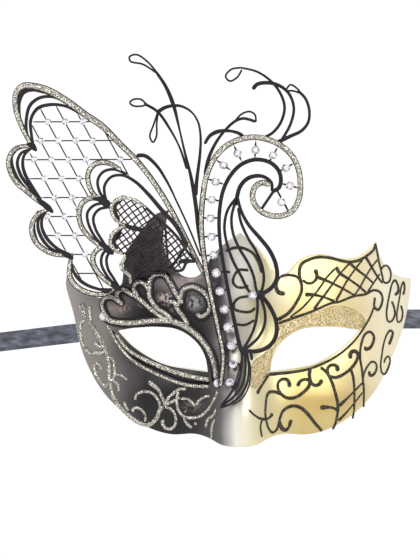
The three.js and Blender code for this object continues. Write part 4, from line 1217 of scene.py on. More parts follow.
CHAMPAGNE_LINES = [
    Stroke([(-83, 24), (-82, 20), (-80.3, 16.5)], 1.0),
    Stroke([(-81.3, 25), (-80.5, 20), (-79.8, 16)], 1.1),
    Stroke([(-77.5, 23), (-77.5, 18.5), (-77, 14.5)], 1.2),
    Stroke([(-80, 15.5), (-82, 14.5), (-82.6, 11), (-82.2, 6), (-80.5, 1.5), (-78, -1.5), (-76, -2)], 1.1),
    Stroke([
        (-78.5, 15.5), (-77, 13.5), (-74, 8.5), (-71.5, 4), (-69.7, 0), (-68.2, -4), (-67.5, -9),
        (-67.5, -14), (-66.8, -19), (-65.5, -24), (-62, -29.5), (-57.5, -34), (-53, -37.3),
        (-48.5, -39), (-45.5, -38.3), (-42.8, -35.5), (-41.2, -31.5), (-39.5, -29),
    ], 1.3),
    Stroke([(-75.5, 3.8), (-73.3, 2.2), (-71, 1)], (1.8, 1.1)),
    Stroke([(-77, -1.2), (-73.5, -1.8), (-69.7, -1.2)], 1.2),
    Stroke([(-67.3, -4), (-65.5, -5.5), (-64.8, -9.5), (-64.6, -12.5), (-61, -13.5), (-58.3, -15.5)], 1.2),
    Stroke([(-64.6, -12.5), (-65.4, -16), (-63, -18), (-62.5, -21.8)], (1.2, 1.1, 1.6)),
    Stroke([(-65.2, -15), (-67.8, -17.3), (-69.8, -19.2)], (1.2, 2.0)),
    Stroke([(-75, -7), (-75.3, -9.5), (-73.7, -14), (-71, -17.8), (-68.5, -19.6)], (1.6, 1.0, 1.2)),
    Stroke([(-75, -7), (-73, -7.6), (-71.2, -11)], 1.1),
    Stroke([
        (-54, -26.3), (-53.5, -23.5), (-51, -22), (-48, -21.7), (-44.5, -23), (-42, -26),
        (-41, -29.5), (-41.5, -33), (-43.6, -37),
    ], 1.3),
    Stroke([(-47, -16.3), (-45, -18), (-42, -20.5), (-40.5, -23.5), (-39, -27), (-38.3, -29.5)], (2.6, 1.4, 1.1)),
    Stroke([(-54.8, -32.7), (-55, -30.8), (-53, -30.1), (-50.5, -31.5), (-48.8, -34), (-48.8, -37.6)], (1.7, 1.1, 1.1)),
    Stroke([(-59.9, -26.8), (-59, -29.5), (-57.3, -31.8)], (1.6, 1.0)),
    Stroke([
        (-38.8, -29.5), (-36, -30.3), (-33.8, -32.5), (-32.8, -36), (-33.5, -39.5), (-36, -41.2),
        (-38.7, -40), (-39.8, -37.5), (-38.8, -36.4),
    ], (1.2, 1.3, 1.3, 1.8)),
    Stroke([(-38.5, -28.5), (-37, -25.5), (-34, -22.5), (-31, -20.5), (-27.2, -20.2)], 1.5),
    Stroke([(-38, -28.5), (-34, -26.5), (-30.5, -24.6)], 1.3),
    Stroke([
        (-68.5, 13), (-66, 8), (-63, 3), (-59, -2), (-54, -6.5), (-48, -10), (-42, -13),
        (-36, -15.5), (-30, -17.5), (-24, -18.7), (-15.5, -19),
    ], (1.2, 1.3, 1.4)),
    Stroke([
        (-64.2, 8.5), (-60.6, 3.2), (-56.4, -0.9), (-51, -4.1), (-46, -6.6), (-40, -9.2),
        (-34, -11.4), (-28, -13.1), (-21, -14.6), (-15, -15.6),
    ], (1.3, 2.0, 2.2)),
    Stroke([
        (-31.5, -21.5), (-32.3, -26), (-31.5, -31), (-29, -34.3), (-25, -35.3), (-20.5, -34.5),
        (-17, -32), (-14.5, -28.5), (-12, -24), (-10.8, -21),
    ], 1.4),
    Stroke([(-30.5, -25.3), (-27, -25.5), (-24.5, -27), (-22.5, -28.8), (-20.5, -26), (-17.5, -24.3), (-15, -24)], 1.2),
    Stroke([(-28.7, -35), (-27.3, -38), (-24.3, -40.5)], (1.2, 1.6)),
    Stroke([(-22.4, -37.6), (-22.7, -39.2)], 1.7),
    Stroke([(-12, -30.3), (-13, -33.5), (-16, -36), (-17.4, -40.4)], (1.0, 1.4, 1.6)),
    Stroke([(-12.8, -36), (-14, -40), (-14.3, -46)], (1.0, 1.4, 1.0)),
    Stroke([(-28.4, -31.8), (-27.4, -32)], 1.8),
]
BLACK_LINES = [
    # the centre peak
    Stroke([(-7, 51.5), (-3, 53), (2, 53), (7, 50.5), (10, 46), (12, 40)], 1.4),
    Stroke([(-8, 40.5), (-4.5, 40.5)], 1.2),
    Stroke([(5, 41.5), (0, 41.5), (-2.5, 38.5), (-3, 35), (-1, 32.8), (2, 32.5), (5, 33.5)], 1.3),
    Stroke([(5, 28), (0, 27), (-2.5, 24.5), (-2.5, 21.5), (1, 20), (6, 20), (8.5, 22)], 1.3),
    Stroke([(-2, 13.5), (3, 13), (8, 15.5)], 1.2),
    # the brow line, its hook and the lower lid
    Stroke([
        (20.5, 13.8), (28, 16.5), (38, 20), (48, 24.3), (52, 25), (60, 28), (66, 29), (70, 31),
        (73, 30.5), (74.7, 28), (74.5, 24), (72.5, 20.8), (70.6, 22.5), (70.9, 27.4),
    ], (1.5, 1.2, 1.2, 1.2, 1.3)),
    Stroke([
        (70.3, 22), (68.3, 17), (65, 11.3), (60, 4.6), (54, -1), (48, -5), (42, -7.8), (36, -10),
        (28, -11.5), (20, -12.3), (15.2, -12.7),
    ], (1.0, 1.1, 1.3, 1.7)),
    Stroke([(15.5, -12.6), (12.7, -17), (10.3, -20.8), (9.4, -22.8)], (1.5, 1.1, 1.7)),
    Stroke([
        (20, 15.5), (26, 19.5), (30, 25), (32.5, 30.5), (32.3, 35), (30.2, 38), (26, 39), (22.5, 38.5),
        (20, 36.3), (19.3, 33), (20.6, 30), (24, 29.2),
    ], (1.9, 1.5, 1.4, 1.2, 2.4)),
    Stroke([
        (32.3, 35), (31.6, 38), (31.4, 41), (32.5, 44.6), (36, 46.8), (41, 48.3), (47, 48), (54, 46.3),
        (58, 45.8), (63, 46.9), (67, 49.3), (70.3, 52.3), (71.1, 55.6),
    ], (1.6, 1.6, 1.4, 1.2)),
    Stroke([(33, 36.4), (35.5, 34.8), (38, 34.9), (40, 36.7), (40.5, 39.2), (39.5, 42)], (1.3, 1.2, 2.2)),
    Stroke([(71.2, 55.6), (72, 51.5), (73, 46), (74.2, 41), (75.3, 36)], 1.1),
    # the lattice by the temple
    Stroke([(40, 38.2), (45, 36.3), (49, 34.5), (54, 32), (60, 28.5)], (1.9, 1.1, 1.0)),
    Stroke([(50.7, 43.4), (52, 40.5), (57, 37), (62, 33.5), (66.5, 29.7)], (2.0, 1.1, 1.2)),
    Stroke([(57.5, 45.2), (62, 41.5), (66.5, 38), (70.2, 34.6)], (1.5, 1.0)),
    Stroke([(66, 48.6), (69, 43.5), (72, 38.5), (75, 34.6)], (1.5, 1.0)),
    Stroke([(34.3, 28.8), (39, 28.7), (44, 27.5), (50, 25.2)], (2.1, 1.1, 1.3)),
    Stroke([(50.2, 42.5), (45.5, 37.5), (42.5, 33), (38.5, 28), (33, 22), (26.5, 17)], 0.9),
    Stroke([(57.5, 45), (52.5, 39.5), (48.5, 34), (44.5, 28.5), (41, 24), (39, 21)], (0.9, 0.9, 1.6)),
    Stroke([(64.5, 47), (60.5, 42), (56, 35.5), (53, 30), (50.5, 25.5)], (0.9, 0.9, 1.4)),
    Stroke([(72.3, 47), (69.5, 43.5), (66, 38), (63, 32.5), (60, 28.3)], 0.9),
    Stroke([(73.5, 39.6), (70, 34.5), (67, 30)], 0.9),
    # loops at the temple
    Stroke([
        (73.9, 41), (75.2, 43.4), (77, 44), (78.8, 42), (79.3, 38.8), (78.2, 35.4), (76.2, 34.9),
        (74.7, 37),
    ], 1.0),
    Stroke([
        (81.3, 28.5), (83, 30), (83, 33.5), (81.5, 36.3), (80, 34.5), (78.8, 30), (77.6, 24), (77, 18.5),
        (77.8, 14.8), (79.5, 14.8), (81.3, 18), (81, 22), (79.7, 25.4),
    ], (1.5, 1.0, 1.0, 1.0, 1.3)),
    Stroke([
        (85.7, 28.5), (86.5, 31.5), (86, 35.4), (84.8, 33), (84, 28), (83, 22.5), (82.4, 17.5),
        (83, 14.4), (84.5, 15), (85.5, 19), (84.6, 23.2),
    ], (1.3, 0.9, 0.9, 0.9, 1.2)),
    Stroke([
        (78.2, 2.6), (79.6, 6), (80.2, 9.2), (79, 10), (77.2, 8), (75.6, 3.5), (74.5, -3), (73.9, -8),
        (74.6, -12), (76, -12.8), (78, -9.5), (78.9, -5.5), (77.9, -3.4), (76.5, -4.5), (75.6, -7),
    ], (1.7, 0.9, 0.9, 0.9, 0.9)),
    # cheek curls and the long uprights
    Stroke([
        (65.6, 1.8), (66.2, 0.3), (68.2, 1), (70, 4), (70.2, 7.4), (68.2, 9.4), (65.6, 8), (64, 4),
        (63.2, 0), (63.2, -5), (64, -10), (64.5, -15), (65, -20), (65, -30),
    ], (1.8, 1.2, 1.2, 1.2, 1.0)),
    Stroke([
        (67.9, -11), (68.2, -13.3), (70, -13), (71.7, -10), (71.3, -7), (69.4, -6.2), (67, -8.6),
        (65.3, -12), (64.6, -15),
    ], (1.6, 1.0, 1.0)),
    Stroke([(58, -9.5), (59.4, -14), (60, -20), (60.1, -26), (59.9, -32), (59.2, -36)], (1.5, 1.2, 0.9)),
    Stroke([(52, -29.3), (56, -25.6), (60, -21.6), (64.4, -17.2)], (1.9, 0.9, 0.9)),
    Stroke([(51.7, -37), (56, -32.6), (60, -27.8), (64.4, -22.2)], (1.5, 0.8, 0.8)),
    # scrolls under the lid
    Stroke([
        (46.8, -13.6), (50, -14.4), (54, -13), (58, -10), (60.8, -6.5), (62, -3), (61, -0.9),
        (58.8, -1), (57.8, -2.8), (58.5, -4.6),
    ], (1.6, 1.5, 1.6, 2.3)),
    Stroke([(46.6, -13.4), (46, -10.4), (47.3, -8.2), (50, -8), (51.4, -9.5), (50.6, -11)], (1.5, 1.5, 2.5)),
    Stroke([
        (42.3, -9), (45.5, -11.6), (48, -16), (50, -22), (51.4, -28), (51.3, -33), (50.3, -38),
        (48.8, -41.6),
    ], (1.5, 1.6, 1.6, 1.1)),
    Stroke([(42.2, -30), (44, -29.9), (47, -29.9), (49.5, -30.4), (51.3, -31.5)], (2.9, 1.3, 1.2)),
    Stroke([(37.2, -9.8), (36.6, -12.5), (37.2, -16), (39, -18.3), (41.5, -18), (43.3, -15.4)], (1.8, 1.5, 2.2)),
    Stroke([
        (37, -15), (36.4, -18.8), (33, -22.4), (29, -24.8), (25, -24.9), (22, -23), (20.3, -20),
        (20.4, -17), (22.5, -15.2), (25, -15.5), (26.2, -17.6), (26, -19.5),
    ], (1.8, 1.6, 1.6, 1.3, 2.1)),
    Stroke([(30.5, -19), (31.3, -17), (33, -15.6), (35.4, -15.4), (37.2, -16.6)], (2.1, 1.4, 1.5)),
    Stroke([
        (22.3, -23), (18.7, -21.8), (15.6, -22), (14.3, -24.5), (13.8, -29), (13.6, -33), (14.3, -37.5),
        (15.5, -41), (17.4, -42.9), (19.5, -41.5), (20.7, -38), (21.4, -35), (22.7, -32), (25, -30),
        (28.5, -29.1), (32, -30), (35.5, -33), (39.5, -38), (43.3, -42.4),
    ], (1.9, 1.2, 1.2, 1.2, 1.6, 1.7, 1.4)),
    Stroke([(21, -37), (22.2, -40.6), (24, -41.7), (25.7, -40.5), (26.6, -38), (27.2, -36.2)], (1.4, 2.3, 1.3, 2.0)),
    Stroke([(5, -31), (8, -33.8), (11, -35.6), (14, -36)], (1.0, 1.0, 1.5)),
    Stroke([(12, -36), (11.2, -39), (11.3, -42), (12, -45.3)], 1.0),
    Stroke([(17.4, -32.9), (16.2, -34.8), (14.2, -36)], (2.3, 1.2, 1.2)),
]
GOLD_FIELD = [
    [
        (20.5, 12.8), (30, 16), (40, 19.8), (50, 23.3), (58, 22), (65, 17.5), (66, 13.5), (63, 10.9),
        (52, 12.4), (42, 12.6), (33, 11.7), (26.5, 8.8), (20.4, 3), (17, -4), (15.7, -11.3),
    ],
    [(15.7, -11.3), (12.5, -15.5), (8.5, -20), (5.5, -19), (4.5, -13), (7.5, -6), (13.5, -1), (18, 5), (20.5, 12.8)],
]
BAR_ENDS = [
    ((-81, 89.2), (-77.5, 89.2)), ((-81.2, 85), (-77.8, 78.6)), ((-83.5, 79.4), (-79.5, 79.4)),
    ((-86.8, 69.5), (-82.8, 69.5)), ((-85.2, 74), (-83, 70)),
]
TAIL_SHADES = [
    Stroke([(4.4, -3), (5.8, -9), (5.9, -14), (4.8, -19.5), (1.8, -25), (-3.4, -28.6)], (0.9, 0.8, 0.7)),
    Stroke([(2, -2.5), (0.4, -9), (-1.2, -15), (-3.4, -20.5), (-8.4, -28)], (0.9, 0.8, 0.7)),
]
WING_SPURS = [
    Stroke([(-110.5, 107.6), (-107.8, 106.6), (-105.2, 103.6)], (1.2, 3.6, 1.4)),
    Stroke([(-105.2, 79), (-102, 76.4), (-98.6, 73.6), (-96.6, 71.4)], (1.4, 2.9, 3.2, 1.5)),
    Stroke([(-92.5, 50.6), (-89.2, 49.4), (-86, 47.4)], (1.3, 3.4, 1.6)),
    Stroke([(-72, 31.8), (-68.5, 30.6), (-65.5, 31.6)], (1.3, 3.2, 1.6)),
]
WING_SHADES = [
    Stroke([
        (-113.6, 117), (-114.6, 123.9), (-114.6, 130.2), (-112.3, 134.5), (-107.8, 135.8), (-102.6, 134.6),
        (-95.7, 132.4),
    ], (0.9, 1.5, 2.4, 2.2, 1.4, 0.9)),
    Stroke([(-116, 104), (-118.4, 101.4), (-118.6, 97.5), (-116.7, 91.9), (-114.1, 87.5), (-110.2, 83.4)],
           (1.0, 1.8, 1.8, 1.6, 1.0)),
    Stroke([(-104.6, 72.6), (-106.6, 68), (-106.8, 63), (-105.4, 57.5), (-102, 52)], (1.0, 1.5, 1.5, 1.0)),
]
MIDDLE_SPURS = [
    Stroke([(-76, 78.8), (-72, 78.2), (-68.2, 75.8), (-65.6, 73.6)], (1.2, 2.8, 4.4, 1.8)),
    Stroke([(-73, 55.6), (-70, 54.2), (-67, 51.6), (-65, 49.6)], (1.2, 2.6, 3.9, 1.6)),
    Stroke([(-66.4, 34.4), (-63.4, 32.6), (-60.8, 30.8)], (1.4, 3.6, 1.6)),
]
NET_LINES = [
    Stroke([(-60, 65.2), (-56.5, 63.8), (-51, 62.6), (-45, 61.6), (-39, 61)], (2.2, 2.6, 1.6, 1.2)),
    Stroke([(-60, 63.8), (-64, 60.6), (-65, 56.2), (-63, 52.4)], (1.2, 2.6, 2.4, 1.2)),
    Stroke([(-62, 67.6), (-64.4, 71.4), (-64.2, 75.6), (-61, 77.4)], (1.2, 2.6, 2.4, 1.0)),
    Stroke([(-50.8, 61.4), (-52.2, 56.6), (-55, 52.4), (-58.4, 50.2)], (1.0, 1.1, 1.6)),
    Stroke([(-38.2, 64), (-37.6, 56), (-37, 48), (-37.4, 42)], 1.1),
    Stroke([(-31.5, 45.6), (-28, 46.4), (-23.2, 46.2)], (2.0, 2.2, 1.2)),
    Stroke([(-47, 61.4), (-50.4, 55), (-52.2, 48), (-52.8, 41.4)], 1.0),
    Stroke([(-43, 61.2), (-44.4, 54), (-44.6, 47), (-43.8, 42.6)], 1.0),
]
NET_GLITTER = [
    Stroke([
        (-59, 65), (-63, 66.8), (-66.1, 71.5), (-65.4, 76.2), (-61.6, 79), (-56, 78.8), (-51.5, 76.4), (-48, 73.8),
    ], (1.0, 1.9, 2.2, 2.1, 1.7, 0.9)),
    Stroke([(-58.6, 64.6), (-62.6, 62.9), (-66.2, 59.4), (-66.6, 54.6), (-63.4, 51.2), (-60, 49.9)],
           (1.2, 2.2, 2.2, 1.8, 1.3)),
    Stroke([(-59.2, 50), (-59.4, 47.4), (-61.2, 43.6), (-58.8, 40.4), (-56.6, 38.4), (-56.2, 34.4)],
           (1.2, 2.2, 1.7, 1.9, 1.3)),
]
NET_DENSE = [
    [(-59, 49.5), (-55.5, 52.6), (-52, 57), (-48.5, 60.8), (-44, 60.6), (-38.4, 60.4)],
    [(-38.4, 60.4), (-37.6, 52), (-37, 44), (-38, 40.5), (-44, 41), (-51, 40), (-56.5, 37), (-58.6, 42), (-59, 49.5)],
]
EYE_LINER = [
    Stroke([
        (-66.3, 10.3), (-62, 4.2), (-57.4, -1.2), (-51, -5.8), (-45, -8.7), (-38, -11.8), (-30, -15),
        (-22, -16.7), (-15, -17.2),
    ], (1.0, 2.0, 2.2, 1.8)),
    Stroke([
        (-67, 13.2), (-60, 12.4), (-50, 13.1), (-41, 13.5), (-33, 12.5), (-26, 9.4), (-19.5, 3.4),
        (-15.4, -3.6), (-13.9, -11), (-13.5, -17),
    ], (1.4, 2.6, 2.6, 2.6, 2.4, 1.8)),
]


# ---------------------------------------------------------------------------------------------
# Sub-assemblies
# ---------------------------------------------------------------------------------------------

FORM = FaceForm()
SHEET_THICKNESS = 0.8
LAYER = 1.1
WING_STANDOFF = 2.9
FLAT_BEAD = GlueBead(height_share=0.22, sunk=0.05)


def eased_lift(index: int) -> float:
    """Returns a hair of height that keeps crossing lines from lying in one plane."""
    return 0.02 * (index % 5)


def metal_lines(pile: MeshPile, strokes: Sequence[Stroke], skin: Skin, strip: CutStrip = CutStrip()) -> None:
    """Adds the lines of one cut sheet.

    Args:
        pile: Where the lines go.
        strokes: The drawn lines.
        skin: The sheet's back.
        strip: The section that they are cut to.
    """
    for i, stroke in enumerate(strokes):
        strip.lay(pile, stroke, skin, eased_lift(i))


def glitter_lines(name: str, strokes: Sequence[Stroke], skin: Skin, rise: float, finish: Finish,
                  bead: GlueBead = GlueBead()) -> bpy.types.Object:
    """Makes a piece of glitter glue lines.

    Args:
        name: The piece's name.
        strokes: The drawn lines.
        skin: The surface below.
        rise: How far out of the surface the glue starts.
        finish: Its glitter.
        bead: The section of the glue.

    Returns:
        The new piece.
    """
    pile = MeshPile()
    for stroke in strokes:
        bead.lay(pile, stroke, skin, rise)
    return pile.build(name, finish.material(), smooth=70)


@dataclass(frozen=True)
class MaskShell:
    """The moulded shell, with rolled edges, two eyes and a pale inside."""

    wall: float = 1.6
    grid: float = 1.7
    edge_step: float = 1.0
    rolled: float = 0.45
    lower_lip: float = 1.0

    def outlines(self) -> list[np.ndarray]:
        """Returns the rim and the two eyes, each a closed outline."""
        right = outline_of(EYE, self.edge_step)
        left = right * np.array([-1.0, 1.0])
        return [outline_of(SHELL_EDGE, self.edge_step), left, right]

    @staticmethod
    def outward(outline: np.ndarray, hole: bool) -> np.ndarray:
        """Works out the direction away from the material along an outline.

        Args:
            outline: The closed outline.
            hole: True for an opening, whose outward side is its middle.

        Returns:
            A unit direction for each point.
        """
        along = np.roll(outline, -1, axis=0) - np.roll(outline, 1, axis=0)
        side = np.column_stack([along[:, 1], -along[:, 0]])
        side /= np.linalg.norm(side, axis=1)[:, None]
        area = np.sum(outline[:, 0] * np.roll(outline[:, 1], -1) - np.roll(outline[:, 0], -1) * outline[:, 1])
        if area < 0:
            side = -side
        return -side if hole else side

    def sheet(self, borders: list[np.ndarray]) -> tuple[np.ndarray, list[tuple[int, ...]]]:
        """Fills the space between the borders with small triangles.

        Args:
            borders: The rim, then the eyes.

        Returns:
            The places, with the borders' own points first, and the triangles.
        """
        rows = np.arange(-52, 76, self.grid)
        places = np.array([
            (x + (self.grid / 2 if i % 2 else 0), z)
            for i, z in enumerate(rows) for x in np.arange(-92, 92, self.grid)
        ])
        keep = inside(borders[0], places) & ~inside(borders[1], places) & ~inside(borders[2], places)
        keep &= distance_to(np.vstack(borders), places) > 0.6 * self.grid
        every = np.vstack([*borders, places[keep]])
        edges, start = [], 0
        for border in borders:
            size = len(border)
            edges += [(start + i, start + (i + 1) % size) for i in range(size)]
            start += size
        found = geometry.delaunay_2d_cdt([Vector(place) for place in every], edges, [], 0, 1e-5)
        points = np.array([tuple(point) for point in found[0]])
        triangles = [tuple(face) for face in found[2]]
        middles = np.array([points[list(face)].mean(axis=0) for face in triangles])
        solid = inside(borders[0], middles) & ~inside(borders[1], middles) & ~inside(borders[2], middles)
        return points, [face for face, good in zip(triangles, solid) if good]

    def build(self) -> bpy.types.Object:
        """Makes the shell.

        Returns:
            The piece.
        """
        outlines = self.outlines()
        sides = [self.outward(outline, i > 0) for i, outline in enumerate(outlines)]
        borders = [outline - side * self.rolled for outline, side in zip(outlines, sides)]
        places, triangles = self.sheet(borders)
        count = len(places)
        points = [Vector((x, FORM.depth_at(x, z), z)) for x, z in places]
        back_places = places.copy()
        start = 0
        lips = []
        for i, (border, side) in enumerate(zip(borders, sides)):
            lip = np.clip(side[:, 1], 0, 1) ** 0.5 * (self.lower_lip if i else 0.0)
            lips.append(lip)
            back_places[start : start + len(border), 1] += lip
            start += len(border)
        points += [Vector((x, FORM.depth_at(x, z) + self.wall, z)) for x, z in back_places]
        faces: list[Sequence[int]] = [face for face in triangles]
        finishes = [0] * len(faces)
        faces += [tuple(count + i for i in face[::-1]) for face in triangles]
        finishes += [1] * len(triangles)
        start = 0
        for outline, side, lip in zip(outlines, sides, lips):
            size = len(outline)
            rings = [list(range(start, start + size))]
            for out, deep in ((-0.13, 0.13), (0.0, 0.45), (0.0, 1.15), (-0.13, 1.47)):
                rings.append(list(range(len(points), len(points) + size)))
                for (x, z), (a, b), raised in zip(outline, side, lip):
                    px, pz = x + a * out * self.rolled / 0.45, z + b * out * self.rolled / 0.45
                    pz += raised * blend(0.0, self.wall, deep)
                    points.append(Vector((px, FORM.depth_at(px, pz) + deep, pz)))
            rings.append([count + i for i in rings[0]])
            for low, high in zip(rings, rings[1:]):
                for i in range(size):
                    after = (i + 1) % size
                    faces.append((low[i], low[after], high[after], high[i]))
                    finishes.append(0 if low is rings[0] else 1)
            start += size
        pile = MeshPile()
        pile.points, pile.faces, pile.finishes = points, faces, finishes
        made = pile.build("shell_skin", Finish.SHELL.material(), Finish.INSIDE.material(), smooth=60)
        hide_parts("mask_shell")
        return made


@dataclass(frozen=True)
class ShellDrawing:
    """Glitter glue drawn on the shell: scrolls on both halves and a sanded field by the right eye."""

    field_rise: float = 0.25
    field_grain: float = 0.5
    side_gain: float = 0.9  # how much wider the lines are at the temple
    pressed: float = 0.2  # how much wider the glue lies than the line that was drawn

    def field(self) -> bpy.types.Object:
        """Makes the sanded gold field between the brow line and the right eye.

        Returns:
            The piece.
        """
        outline = outline_of(GOLD_FIELD, 1.0)
        rows = np.arange(-26, 28, 0.9)
        places = np.array([(x, z) for z in rows for x in np.arange(2, 72, 0.9)])
        keep = inside(outline, places) & (distance_to(outline, places) > 0.5)
        every = np.vstack([outline, places[keep]])
        edges = [(i, (i + 1) % len(outline)) for i in range(len(outline))]
        found = geometry.delaunay_2d_cdt([Vector(place) for place in every], edges, [], 0, 1e-5)
        flat = np.array([tuple(point) for point in found[0]])
        triangles = [tuple(face) for face in found[2]]
        solid = inside(outline, np.array([flat[list(face)].mean(axis=0) for face in triangles]))
        triangles = [face for face, good in zip(triangles, solid) if good]
        margin = distance_to(outline, flat)
        points = []
        for (x, z), far in zip(flat, margin):
            grain = self.field_grain * abs(noise.noise(Vector((x * 0.9, z * 0.9, 4.0))))
            height = (self.field_rise + grain) * blend(0.0, 1.6, float(far)) - 0.02
            points.append(Vector((x, FORM.depth_at(x, z) - height, z)))
        count = len(points)
        points += [Vector((x, FORM.depth_at(x, z) + 0.15, z)) for x, z in flat]
        faces: list[Sequence[int]] = list(triangles)
        faces += [tuple(count + i for i in face[::-1]) for face in triangles]
        size = len(outline)
        faces += [(i, (i + 1) % size, count + (i + 1) % size, count + i) for i in range(size)]
        pile = MeshPile()
        pile.add(points, faces)
        return pile.build("gold_glitter_field", Finish.GOLD_GLITTER.material(), smooth=75)

    def build(self) -> list[bpy.types.Object]:
        """Makes the drawing.

        Returns:
            Its pieces.
        """
        pale = [
            grown(stroke, 2 * self.pressed + self.side_gain * blend(66, 80, -stroke.at[0][0]))
            for stroke in CHAMPAGNE_LINES
        ]
        black = [grown(stroke, self.pressed) for stroke in BLACK_LINES]
        return [
            glitter_lines("champagne_scrolls", pale, FORM, 0.0, Finish.CHAMPAGNE),
            glitter_lines("black_scrolls", black, FORM, 0.0, Finish.BLACK_GLITTER),
            self.field(),
        ]


@dataclass(frozen=True)
class LidFrame:
    """Glittered petals round the left eye, each on a wider black metal line."""

    gap: float = 0.3
    metal: float = 0.55
    backing: float = 2.9  # how much wider the metal is than the drawn line
    swell: float = 0.85  # how much wider the glitter is than the drawn line

    def liner(self) -> bpy.types.Object:
        """Makes the glossy black line round the left eye.

        Returns:
            The piece.
        """
        pile = MeshPile()
        for stroke in EYE_LINER:
            GlueBead(height_share=0.10, grain=0.02, sway=0.05, step=0.8).lay(pile, stroke, FORM, 0.0)
        return pile.build("eye_liner", Finish.LINER.material(), smooth=70)

    def build(self) -> list[bpy.types.Object]:
        """Makes the petals.

        Returns:
            The metal, the glitter on it and the line round the eye.
        """
        skin = FaceForm(raised=self.gap)
        pile = MeshPile()
        backing = [grown(stroke, self.backing) for stroke in LID_LINES]
        metal_lines(pile, backing, skin, CutStrip(thickness=self.metal))
        metal = pile.build("lid_frame_metal", Finish.METAL.material())
        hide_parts("lid_frame")
        shine = [grown(stroke, self.swell) for stroke in LID_LINES]
        glitter = glitter_lines("lid_frame_glitter", shine, skin, self.metal, Finish.CHAMPAGNE)
        return [metal, glitter, self.liner()]


